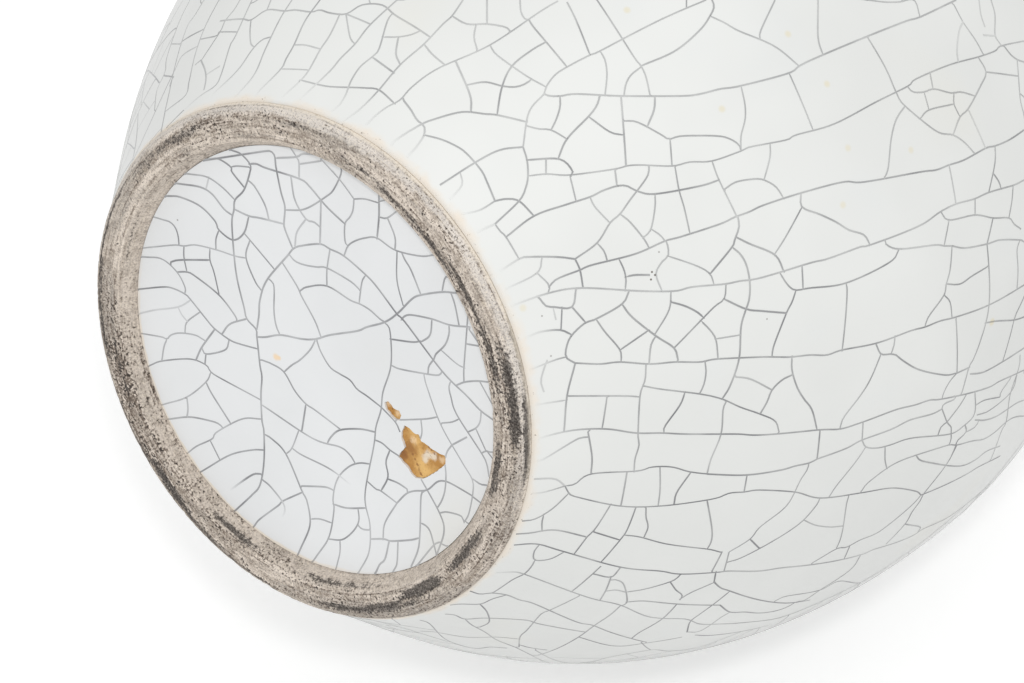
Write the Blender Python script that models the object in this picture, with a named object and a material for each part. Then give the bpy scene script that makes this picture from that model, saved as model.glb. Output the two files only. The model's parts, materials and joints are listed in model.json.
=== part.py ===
"""Crackle-glazed bottle vase, built from the sections a potter lutes together and their glaze coats.

Metres, +Z up. The origin is the middle of the foot ring's flat, where the vase stands.
"""

import math
from dataclasses import dataclass

import bmesh
import bpy

# Clearance between any two pieces that touch
SEAT_GAP = 0.0003

# Glaze coat and clay walls
GLAZE_THICKNESS = 0.0009
BOWL_WALL = 0.0055
NECK_WALL = 0.0040
LIP_WALL = 0.0030
FLOOR_THICKNESS = 0.0065
FLOOR_DISH = 0.0010

# Line on the foot where the outside glaze stops
GLAZE_LINE_RADIUS = 0.0550
GLAZE_LINE_HEIGHT = 0.0026

# Globe: it leaves the foot at a slant, is widest at the belly and closes in an elliptic shoulder
FOOT_SLANT = math.radians(32.8)
FOOT_SLANT_REACH = 0.0318
BELLY_RADIUS = 0.1058
BELLY_HEIGHT = 0.1305
BELLY_REACH = 0.0732
SHOULDER_RISE = 0.0950
SHOULDER_END_RADIUS = 0.0480

# Heights of the two thrown bands that meet at the belly
LOWER_BAND_HEIGHT = 0.0660
UPPER_BAND_HEIGHT = 0.0540

# Neck and lip
NECK_ROOT_RADIUS = 0.0262
NECK_ROOT_RISE = 0.0240
NECK_ROOT_REACH = 0.0120
NECK_LENGTH = 0.0860
NECK_TAPER = 0.0014
LIP_FLARE = 0.0052
LIP_RISE = 0.0220

# Foot ring, from the glaze line inwards: bare face, outer bevel, flat, inner bevel, sloped bore
BARE_FACE_RUN = 0.0010
OUTER_BEVEL_RUN = 0.0014
OUTER_BEVEL_HEIGHT = 0.0008
FLAT_WIDTH = 0.0040
INNER_BEVEL_RUN = 0.0012
INNER_BEVEL_HEIGHT = 0.0005
BORE_SLOPE_RUN = 0.0017
LEDGE_WIDTH = 0.0042
RING_HEIGHT = 0.0090

# Recess under the base, and how far its middle is domed up
RECESS_DEPTH = 0.0040
RECESS_DOME = 0.0016

# Half-lap seams
FOOT_LAP = 0.0030
BODY_LAP = 0.0050
SHOULDER_LAP = 0.0036
NECK_LAP = 0.0040

# How far under the neck's root the inside coat ends, and how high the bowl's inner corner is cut
INSIDE_COAT_DROP = 0.0130
INNER_CORNER_RISE = 0.0030

# Chips in the base's coat, seen from above: outlines about the middle of each chip
LARGE_CHIP_PLACE = (0.0260, -0.0120)
LARGE_CHIP = (
    (-0.0056, -0.0013), (-0.0040, -0.0016), (-0.0022, -0.0032), (-0.0012, -0.0027),
    (0.0029, -0.0052), (0.0038, -0.0064), (0.0044, -0.0058), (0.0047, -0.0025),
    (0.0052, 0.0013), (0.0033, 0.0039), (-0.0011, 0.0052), (-0.0020, 0.0023),
    (-0.0040, 0.0017), (-0.0053, 0.0004),
)
SMALL_CHIP_PLACE = (0.0165, -0.0115)
SMALL_CHIP = (
    (-0.0023, 0.0003), (-0.0014, -0.0008), (0.0015, -0.0018),
    (0.0022, -0.0001), (0.0004, 0.0008), (-0.0012, 0.0012),
)

# Facets
TURN_STEPS = 36
LOWER_BOWL_STEPS = 8
SHOULDER_STEPS = 7
ROOT_STEPS = 4
NECK_STEPS = 3
FLARE_STEPS = 3
RIM_STEPS = 4
BASE_STEPS = 4
FLOOR_STEPS = 2
SMOOTH_LIMIT = math.radians(30.0)

# Finishes: colour, roughness, metallic
WHITE_GLAZE = ("white_glaze", (0.80, 0.81, 0.79), 0.12, 0.0)
BASE_GLAZE = ("base_glaze", (0.79, 0.81, 0.81), 0.14, 0.0)
BARE_CLAY = ("bare_clay", (0.42, 0.35, 0.29), 0.85, 0.0)
BODY_CLAY = ("body_clay", (0.52, 0.33, 0.16), 0.80, 0.0)


@dataclass(frozen=True)
class Station:
    """One point of the vase's outer face, with what an offset from it needs."""

    radius: float
    height: float
    normal: tuple
    wall: float


def bezier(start, leave, arrive, end, steps):
    """Return the points of a cubic curve, both ends included."""
    points = []
    for step in range(steps + 1):
        t = step / steps
        s = 1.0 - t
        weights = (s ** 3, 3.0 * s * s * t, 3.0 * s * t * t, t ** 3)
        corners = (start, leave, arrive, end)
        points.append(tuple(sum(w * c[i] for w, c in zip(weights, corners)) for i in (0, 1)))
    return points


def lower_bowl_curve():
    """Outer face from the glaze line to the belly."""
    start = (GLAZE_LINE_RADIUS, GLAZE_LINE_HEIGHT)
    leave = (
        GLAZE_LINE_RADIUS + FOOT_SLANT_REACH * math.sin(FOOT_SLANT),
        GLAZE_LINE_HEIGHT + FOOT_SLANT_REACH * math.cos(FOOT_SLANT),
    )
    arrive = (BELLY_RADIUS, BELLY_HEIGHT - BELLY_REACH)
    return bezier(start, leave, arrive, (BELLY_RADIUS, BELLY_HEIGHT), LOWER_BOWL_STEPS)


def shoulder_curve():
    """Outer face from the belly round the ellipse of the shoulder."""
    last = math.acos(SHOULDER_END_RADIUS / BELLY_RADIUS)
    angles = [last * step / SHOULDER_STEPS for step in range(1, SHOULDER_STEPS + 1)]
    return [
        (BELLY_RADIUS * math.cos(angle), BELLY_HEIGHT + SHOULDER_RISE * math.sin(angle))
        for angle in angles
    ]


def lower_seam_height():
    """Height of the seam between the lower bowl and the band under the belly."""
    return BELLY_HEIGHT - LOWER_BAND_HEIGHT


def upper_seam_height():
    """Height of the seam between the band over the belly and the shoulder."""
    return BELLY_HEIGHT + UPPER_BAND_HEIGHT


def neck_root_height():
    """Height of the seam between the shoulder and the neck."""
    return shoulder_curve()[-1][1] + NECK_ROOT_RISE


def root_curve():
    """Hollow curve from the shoulder into the neck."""
    last = math.acos(SHOULDER_END_RADIUS / BELLY_RADIUS)
    run = (-BELLY_RADIUS * math.sin(last), SHOULDER_RISE * math.cos(last))
    length = math.hypot(*run)
    start = shoulder_curve()[-1]
    leave = (
        start[0] + NECK_ROOT_REACH * run[0] / length,
        start[1] + NECK_ROOT_REACH * run[1] / length,
    )
    end = (NECK_ROOT_RADIUS, neck_root_height())
    arrive = (end[0], end[1] - NECK_ROOT_REACH)
    return bezier(start, leave, arrive, end, ROOT_STEPS)[1:]


def lip_seam_height():
    """Height of the seam between the neck and the lip."""
    return neck_root_height() + NECK_LENGTH


def neck_curve():
    """Face of the neck, a little slimmer at the lip than at its root."""
    points = []
    for step in range(1, NECK_STEPS + 1):
        share = step / NECK_STEPS
        slimmed = NECK_TAPER * (1.0 - math.cos(math.pi * share)) / 2.0
        points.append((NECK_ROOT_RADIUS - slimmed, neck_root_height() + NECK_LENGTH * share))
    return points


def flare_curve():
    """Face of the lip, from its seam out to where the rim turns over."""
    points = []
    for step in range(1, FLARE_STEPS + 1):
        share = step / FLARE_STEPS
        points.append((
            NECK_ROOT_RADIUS - NECK_TAPER + LIP_FLARE * share * share,
            lip_seam_height() + LIP_RISE * share,
        ))
    return points


def wall_at(height):
    """Clay wall at a height: the bowl's, thinning to the neck's and then to the lip's."""
    marks = (
        (BELLY_HEIGHT, BOWL_WALL),
        (neck_root_height(), NECK_WALL),
        (lip_seam_height(), NECK_WALL),
        (lip_seam_height() + LIP_RISE, LIP_WALL),
    )
    if height <= marks[0][0]:
        return BOWL_WALL
    for (low, low_wall), (high, high_wall) in zip(marks, marks[1:]):
        if height <= high:
            return low_wall + (high_wall - low_wall) * (height - low) / (high - low)
    return LIP_WALL


def inward_normal(before, after):
    """Unit normal of a run from before to after, pointing at the clay."""
    run = (after[0] - before[0], after[1] - before[1])
    length = math.hypot(*run)
    return (-run[1] / length, run[0] / length)


def outer_stations():
    """Stations of the outer face from the glaze line to the rim, with mitred normals."""
    points = lower_bowl_curve() + shoulder_curve() + root_curve() + neck_curve() + flare_curve()
    stations = []
    for index, point in enumerate(points):
        before = inward_normal(points[max(index - 1, 0)], points[max(index, 1)])
        last = len(points) - 1
        after = inward_normal(points[min(index, last - 1)], points[min(index + 1, last)])
        total = (before[0] + after[0], before[1] + after[1])
        length = math.hypot(*total)
        unit = (total[0] / length, total[1] / length)
        mitre = unit[0] * after[0] + unit[1] * after[1]
        normal = (unit[0] / mitre, unit[1] / mitre)
        stations.append(Station(point[0], point[1], normal, wall_at(point[1])))
    return stations


STATIONS = outer_stations()


def face_at(depth):
    """Points of the face that lies depth(station) under the outer face."""
    return [
        (s.radius + s.normal[0] * depth(s), s.height + s.normal[1] * depth(s)) for s in STATIONS
    ]


def outer_face():
    """Outer face of the outside coat."""
    return face_at(lambda station: 0.0)


def coat_back():
    """Back of the outside coat."""
    return face_at(lambda station: GLAZE_THICKNESS)


def clay_face():
    """Outer face of the clay, one seat gap under the coat."""
    return face_at(lambda station: GLAZE_THICKNESS + SEAT_GAP)


def clay_back():
    """Inner face of the clay, with every second point of the globe left out."""
    points = face_at(lambda station: GLAZE_THICKNESS + SEAT_GAP + station.wall)
    globe_end = LOWER_BOWL_STEPS + SHOULDER_STEPS
    return points[:globe_end:2] + points[globe_end:]


def inside_coat_back():
    """Face of the inside coat that lies on the clay."""
    return face_at(lambda station: GLAZE_THICKNESS + 2.0 * SEAT_GAP + station.wall)


def inside_coat_face():
    """Open face of the inside coat."""
    return face_at(lambda station: 2.0 * (GLAZE_THICKNESS + SEAT_GAP) + station.wall)


def point_at(low, high, height):
    """Point at a height on the run from low to high."""
    share = (height - low[1]) / (high[1] - low[1])
    return (low[0] + (high[0] - low[0]) * share, height)


def between(points, low, high):
    """Part of a rising line of points between two heights, with new points at both ends."""
    kept = []
    for start, end in zip(points, points[1:]):
        if end[1] <= low or start[1] >= high:
            continue
        if not kept:
            kept.append(point_at(start, end, low) if start[1] < low else start)
        kept.append(point_at(start, end, high) if end[1] > high else end)
    return kept


def slid_along(points, at_start, distance):
    """End point of a line of points, moved off its end by a distance along the line."""
    tip, inner = (points[0], points[1]) if at_start else (points[-1], points[-2])
    run = (tip[0] - inner[0], tip[1] - inner[1])
    length = math.hypot(*run)
    return (tip[0] + run[0] * distance / length, tip[1] + run[1] * distance / length)


def half_turn(start, end, steps):
    """Points strictly between start and end on the half circle that bulges up over them."""
    middle = ((start[0] + end[0]) / 2.0, (start[1] + end[1]) / 2.0)
    arm = (start[0] - middle[0], start[1] - middle[1])
    points = []
    for step in range(1, steps):
        angle = math.pi * step / steps
        turn, lift = math.cos(angle), math.sin(angle)
        points.append((
            middle[0] + arm[0] * turn - arm[1] * lift,
            middle[1] + arm[1] * turn + arm[0] * lift,
        ))
    return points


def lap_step(outer_radius, inner_radius, height, lap):
    """Two inner corners of the lower section's half-lap, from the outer rim inwards."""
    middle = (outer_radius + inner_radius) / 2.0
    return [
        (middle + SEAT_GAP / 2.0, height + lap / 2.0),
        (middle + SEAT_GAP / 2.0, height - lap / 2.0),
    ]


def lap_tongue(outer_radius, inner_radius, height, lap):
    """Two corners of the upper section's half-lap, from the tongue's foot outwards."""
    middle = (outer_radius + inner_radius) / 2.0
    return [
        (middle - SEAT_GAP / 2.0, height - lap / 2.0 + SEAT_GAP),
        (middle - SEAT_GAP / 2.0, height + lap / 2.0 + SEAT_GAP),
    ]


def flat_outer_radius():
    """Outer radius of the flat that the vase stands on."""
    return GLAZE_LINE_RADIUS - BARE_FACE_RUN - OUTER_BEVEL_RUN


def flat_inner_radius():
    """Inner radius of the flat that the vase stands on."""
    return flat_outer_radius() - FLAT_WIDTH


def bore_radius():
    """Radius of the ring's bore where the recess ends."""
    return flat_inner_radius() - INNER_BEVEL_RUN - BORE_SLOPE_RUN


def ledge_height():
    """Height of the ring's ledge that carries the floor."""
    return RECESS_DEPTH + GLAZE_THICKNESS


def ledge_radius():
    """Radius of the ring's upper bore, where the floor slab drops in."""
    return bore_radius() + LEDGE_WIDTH


def floor_top():
    """Height of the floor inside the vase, at its edge."""
    return ledge_height() + SEAT_GAP + FLOOR_THICKNESS


def base_radius():
    """Radius of the coat under the base, clear of the ring's bore."""
    return bore_radius() - SEAT_GAP


def base_face():
    """Points of the visible face under the base, from its middle to its edge."""
    shares = [step / BASE_STEPS for step in range(BASE_STEPS + 1)]
    return [
        (base_radius() * share, RECESS_DEPTH + RECESS_DOME * (1.0 - share * share))
        for share in shares
    ]


def raised(points, distance):
    """Points moved straight up."""
    return [(radius, height + distance) for radius, height in points]


def foot_seam_radii():
    """Outer and inner radius of the seam between the ring and the lower bowl."""
    outer = between(clay_face(), RING_HEIGHT, math.inf)[0][0]
    return outer, ledge_radius()


def seam_radii(height):
    """Outer and inner radius of the clay at a seam."""
    outer = between(clay_face(), height, math.inf)[0][0]
    inner = between(clay_back(), height, math.inf)[0][0]
    return outer, inner


def finish(name, colour, roughness, metallic):
    """Return the material of one finish."""
    material = bpy.data.materials.get(name) or bpy.data.materials.new(name)
    material.use_nodes = True
    shader = material.node_tree.nodes["Principled BSDF"]
    shader.inputs["Base Color"].default_value = (*colour, 1.0)
    shader.inputs["Roughness"].default_value = roughness
    shader.inputs["Metallic"].default_value = metallic
    material.diffuse_color = (*colour, 1.0)
    return material


def turned(name, outline, look):
    """Turn a closed outline of (radius, height) points about the vase's axis."""
    mesh = bpy.data.meshes.new(name)
    shape = bmesh.new()
    corners = [shape.verts.new((radius, 0.0, height)) for radius, height in outline]
    edges = [shape.edges.new(pair) for pair in zip(corners, corners[1:])]
    if outline[0][0] > 0.0:
        edges.append(shape.edges.new((corners[-1], corners[0])))
    bmesh.ops.spin(
        shape,
        geom=corners + edges,
        axis=(0.0, 0.0, 1.0),
        cent=(0.0, 0.0, 0.0),
        angle=math.tau,
        steps=TURN_STEPS,
        use_merge=True,
    )
    bmesh.ops.remove_doubles(shape, verts=shape.verts, dist=1e-7)
    bmesh.ops.recalc_face_normals(shape, faces=shape.faces)
    shape.to_mesh(mesh)
    shape.free()
    mesh.shade_smooth()
    mesh.set_sharp_from_angle(angle=SMOOTH_LIMIT)
    mesh.materials.append(finish(*look))
    piece = bpy.data.objects.new(name, mesh)
    bpy.context.scene.collection.objects.link(piece)
    return piece


def make_foot_ring():
    """Bare ring with its flat, outer and inner bevels, the coat's seat and the floor's ledge."""
    clay = clay_face()
    outer, inner = foot_seam_radii()
    outline = [
        (flat_inner_radius(), 0.0),
        (flat_outer_radius(), 0.0),
        (flat_outer_radius() + OUTER_BEVEL_RUN, OUTER_BEVEL_HEIGHT),
        slid_along(outer_face(), True, SEAT_GAP),
        slid_along(clay, True, SEAT_GAP),
    ]
    outline += between(clay, 0.0, RING_HEIGHT + FOOT_LAP / 2.0)
    outline += lap_step(outer, inner, RING_HEIGHT, FOOT_LAP)
    outline += [
        (inner, RING_HEIGHT - FOOT_LAP / 2.0),
        (inner, ledge_height()),
        (bore_radius(), ledge_height()),
        (bore_radius(), RECESS_DEPTH),
        (flat_inner_radius() - INNER_BEVEL_RUN, INNER_BEVEL_HEIGHT),
    ]
    return turned("foot_ring", outline, BARE_CLAY)


def make_base_slab():
    """Floor of the vase: domed underside, ledge seat and slightly dished top."""
    rim = ledge_radius() - SEAT_GAP
    outline = raised(base_face(), GLAZE_THICKNESS + SEAT_GAP)
    outline.append((rim, ledge_height() + SEAT_GAP))
    for step in range(FLOOR_STEPS, -1, -1):
        share = step / FLOOR_STEPS
        outline.append((rim * share, floor_top() - FLOOR_DISH * (1.0 - share * share)))
    return turned("base_slab", outline, BODY_CLAY)


def make_lower_bowl():
    """Foot of the globe, from the ring's lap to the lap under the belly's lower band."""
    foot_outer, foot_inner = foot_seam_radii()
    high = lower_seam_height()
    outline = between(clay_face(), RING_HEIGHT + FOOT_LAP / 2.0 + SEAT_GAP, high + BODY_LAP / 2.0)
    outline += lap_step(*seam_radii(high), high, BODY_LAP)
    corner = floor_top() + INNER_CORNER_RISE
    outline += reversed(between(clay_back(), corner, high - BODY_LAP / 2.0))
    outline += [
        (foot_inner, floor_top()),
        (foot_inner, RING_HEIGHT - FOOT_LAP / 2.0 + SEAT_GAP),
    ]
    outline += lap_tongue(foot_outer, foot_inner, RING_HEIGHT, FOOT_LAP)
    return turned("lower_bowl", outline, BODY_CLAY)


def lapped_section(name, low, low_lap, high, high_lap):
    """Section of the wall between two half-lap seams."""
    outline = between(clay_face(), low + low_lap / 2.0 + SEAT_GAP, high + high_lap / 2.0)
    outline += lap_step(*seam_radii(high), high, high_lap)
    inner = between(clay_back(), low - low_lap / 2.0 + SEAT_GAP, high - high_lap / 2.0)
    outline += reversed(inner)
    outline += lap_tongue(*seam_radii(low), low, low_lap)
    return turned(name, outline, BODY_CLAY)


def make_lower_belly():
    """Band of the globe under the belly's seam."""
    return lapped_section("lower_belly", lower_seam_height(), BODY_LAP, BELLY_HEIGHT, BODY_LAP)


def make_upper_belly():
    """Band of the globe over the belly's seam."""
    return lapped_section("upper_belly", BELLY_HEIGHT, BODY_LAP, upper_seam_height(), SHOULDER_LAP)


def make_shoulder():
    """Shoulder of the globe with the hollow curve into the neck."""
    return lapped_section(
        "shoulder", upper_seam_height(), SHOULDER_LAP, neck_root_height(), NECK_LAP
    )


def make_neck_tube():
    """Tall neck between the shoulder and the lip."""
    return lapped_section("neck_tube", neck_root_height(), NECK_LAP, lip_seam_height(), NECK_LAP)


def make_mouth_ring():
    """Flared lip with a round rim."""
    low = lip_seam_height()
    outline = between(clay_face(), low + NECK_LAP / 2.0 + SEAT_GAP, math.inf)
    inner = between(clay_back(), low - NECK_LAP / 2.0 + SEAT_GAP, math.inf)
    outline += half_turn(outline[-1], inner[-1], RIM_STEPS)
    outline += reversed(inner)
    outline += lap_tongue(*seam_radii(low), low, NECK_LAP)
    return turned("mouth_ring", outline, BODY_CLAY)


def make_glaze_outside():
    """White coat from the glaze line to the inner edge of the rim."""
    front, back = outer_face(), coat_back()
    outline = front + half_turn(front[-1], inside_coat_face()[-1], RIM_STEPS)
    outline += [inside_coat_face()[-1], inside_coat_back()[-1]]
    outline += reversed(half_turn(back[-1], inside_coat_back()[-1], RIM_STEPS))
    outline += reversed(back)
    return turned("glaze_outside", outline, WHITE_GLAZE)


def make_glaze_inside():
    """White coat in the neck's bore, from the rim down to the shoulder."""
    bottom = neck_root_height() - INSIDE_COAT_DROP
    front, back = inside_coat_face(), inside_coat_back()
    open_side = between(front, bottom, math.inf)
    open_side[-1] = slid_along(front, False, -SEAT_GAP)
    clay_side = between(back, bottom, math.inf)
    clay_side[-1] = slid_along(back, False, -SEAT_GAP)
    return turned("glaze_inside", clay_side + list(reversed(open_side)), WHITE_GLAZE)


def chip_cutter(name, place, outline):
    """Upright prism on the outline of a chip, past the coat on both sides by its thickness."""
    low = RECESS_DEPTH - GLAZE_THICKNESS
    high = RECESS_DEPTH + RECESS_DOME + 2.0 * GLAZE_THICKNESS
    mesh = bpy.data.meshes.new(name)
    shape = bmesh.new()
    corners = [shape.verts.new((place[0] + x, place[1] + y, low)) for x, y in outline]
    floor = shape.faces.new(corners)
    grown = bmesh.ops.extrude_face_region(shape, geom=[floor])
    risen = [item for item in grown["geom"] if isinstance(item, bmesh.types.BMVert)]
    bmesh.ops.translate(shape, verts=risen, vec=(0.0, 0.0, high - low))
    bmesh.ops.recalc_face_normals(shape, faces=shape.faces)
    shape.to_mesh(mesh)
    shape.free()
    cutter = bpy.data.objects.new(name, mesh)
    cutter.hide_render = True
    cutter.display_type = "WIRE"
    bpy.context.scene.collection.objects.link(cutter)
    return cutter


def make_glaze_base():
    """White coat in the recess, chipped through to the clay in two places."""
    outline = base_face() + list(reversed(raised(base_face(), GLAZE_THICKNESS)))
    piece = turned("glaze_base", outline, BASE_GLAZE)
    chips = (
        ("large_chip", LARGE_CHIP_PLACE, LARGE_CHIP),
        ("small_chip", SMALL_CHIP_PLACE, SMALL_CHIP),
    )
    for name, place, chip in chips:
        cut = piece.modifiers.new(name, "BOOLEAN")
        cut.operation = "DIFFERENCE"
        cut.solver = "EXACT"
        cut.object = chip_cutter(name + "_cutter", place, chip)
    return piece


def main():
    """Clear the scene and build every piece."""
    for leftover in list(bpy.data.objects):
        bpy.data.objects.remove(leftover, do_unlink=True)
    make_foot_ring()
    make_base_slab()
    make_lower_bowl()
    make_lower_belly()
    make_upper_belly()
    make_shoulder()
    make_neck_tube()
    make_mouth_ring()
    make_glaze_outside()
    make_glaze_inside()
    make_glaze_base()


main()
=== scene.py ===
"""Bottle vase in white crackle glaze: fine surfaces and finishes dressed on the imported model."""

import json
import logging
import math
import random
from dataclasses import dataclass
from enum import Enum
from itertools import product
from typing import Any, Callable, Sequence

import bmesh
import bpy
import numpy as np
from mathutils import Matrix, Vector, kdtree, noise
from mathutils.geometry import delaunay_2d_cdt

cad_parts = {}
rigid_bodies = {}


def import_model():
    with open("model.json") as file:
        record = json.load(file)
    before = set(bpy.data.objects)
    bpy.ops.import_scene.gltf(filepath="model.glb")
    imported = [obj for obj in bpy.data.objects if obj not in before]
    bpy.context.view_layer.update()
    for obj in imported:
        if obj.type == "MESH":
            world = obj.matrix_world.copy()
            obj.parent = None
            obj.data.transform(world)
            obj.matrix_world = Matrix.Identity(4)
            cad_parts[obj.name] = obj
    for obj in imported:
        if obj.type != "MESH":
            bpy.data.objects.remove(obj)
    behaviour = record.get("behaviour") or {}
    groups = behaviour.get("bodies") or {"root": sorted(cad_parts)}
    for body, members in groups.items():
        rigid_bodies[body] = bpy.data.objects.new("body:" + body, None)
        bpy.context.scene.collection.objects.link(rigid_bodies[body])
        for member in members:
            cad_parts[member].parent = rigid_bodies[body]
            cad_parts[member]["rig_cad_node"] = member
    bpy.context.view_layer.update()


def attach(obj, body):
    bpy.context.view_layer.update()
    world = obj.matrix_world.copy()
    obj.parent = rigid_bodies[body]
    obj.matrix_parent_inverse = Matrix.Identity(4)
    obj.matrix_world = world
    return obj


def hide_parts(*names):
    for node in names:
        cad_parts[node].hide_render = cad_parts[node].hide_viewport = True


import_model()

LOG = logging.getLogger("bottle_vase")
MM = 0.001
# How far the visible faces lie inside the solids' faces, so that the crackle lines stay in the solids' box
SKIN_INSET = 0.05 * MM
# Clearance between the clay and its coats in the solids
SEAT_GAP = 0.3 * MM
# Height at which the ring's marks are placed, between its flat and its bevels
RING_LEVEL = 0.6 * MM
BODY = "root"
# Clay solids that the coats cover
COVERED = ("base_slab", "lower_bowl", "lower_belly", "upper_belly", "shoulder", "neck_tube", "mouth_ring")
# Points over which a run that fades out loses its colour, and the share that a faint run keeps
FADE_STEPS = 9
FAINT_SHARE = 0.5
# Smooth steps between two marks of a run, and halvings that find where a run goes into hiding
CURVE_STEPS = 8
HALVINGS = 8
# A crack's strip: how far its face stands off the glaze, how much the strips differ, thickness in half widths
STRIP_LIFT = 0.012 * MM
STRIP_SPREAD = 0.030 * MM
STRIP_THICKNESS = 0.14
CRACK_HALF = 0.18 * MM
BASE_CRACK_HALF = 0.20 * MM

WHITE = (1.0, 1.0, 1.0)
GLAZE_WHITE = (0.815, 0.825, 0.805)
GLAZE_BASE = (0.842, 0.855, 0.862)
GLAZE_WARM = (0.790, 0.780, 0.715)
GLAZE_COOL = (0.770, 0.795, 0.795)
GLAZE_THIN = (0.840, 0.745, 0.630)
CRACK_LINE = (0.170, 0.172, 0.185)
OCHRE_DARK = (0.500, 0.250, 0.065)
OCHRE_LIGHT = (0.800, 0.500, 0.180)
OCHRE_GRIT = (0.230, 0.115, 0.045)
OCHRE_PALE = (0.930, 0.700, 0.450)
BUFF_LIGHT = (0.800, 0.710, 0.620)
BUFF_DARK = (0.335, 0.280, 0.232)
BUFF_GREY = (0.330, 0.300, 0.270)
DIRT = (0.030, 0.024, 0.021)
RING_BROWN = (0.120, 0.085, 0.062)
CREAM = (0.840, 0.745, 0.610)
RIM_PALE = (0.740, 0.695, 0.645)
PINHOLE = (0.070, 0.040, 0.022)
SCAR_BROWN = (0.270, 0.105, 0.030)
IRON_YELLOW = (0.780, 0.700, 0.480)

Point = tuple[float, float]


class Slot(Enum):
    """Material slots of the record."""

    WHITE_GLAZE = "white_glaze"
    BASE_GLAZE = "base_glaze"
    BARE_CLAY = "bare_clay"
    BODY_CLAY = "body_clay"


class Fade(Enum):
    """Where a crack loses its colour."""

    NONE = "none"
    START = "start"
    END = "end"
    FAINT = "all along"


@dataclass(frozen=True)
class Run:
    """One crack as the photograph shows it."""

    marks: tuple[Point, ...]
    fade: Fade = Fade.NONE


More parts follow.
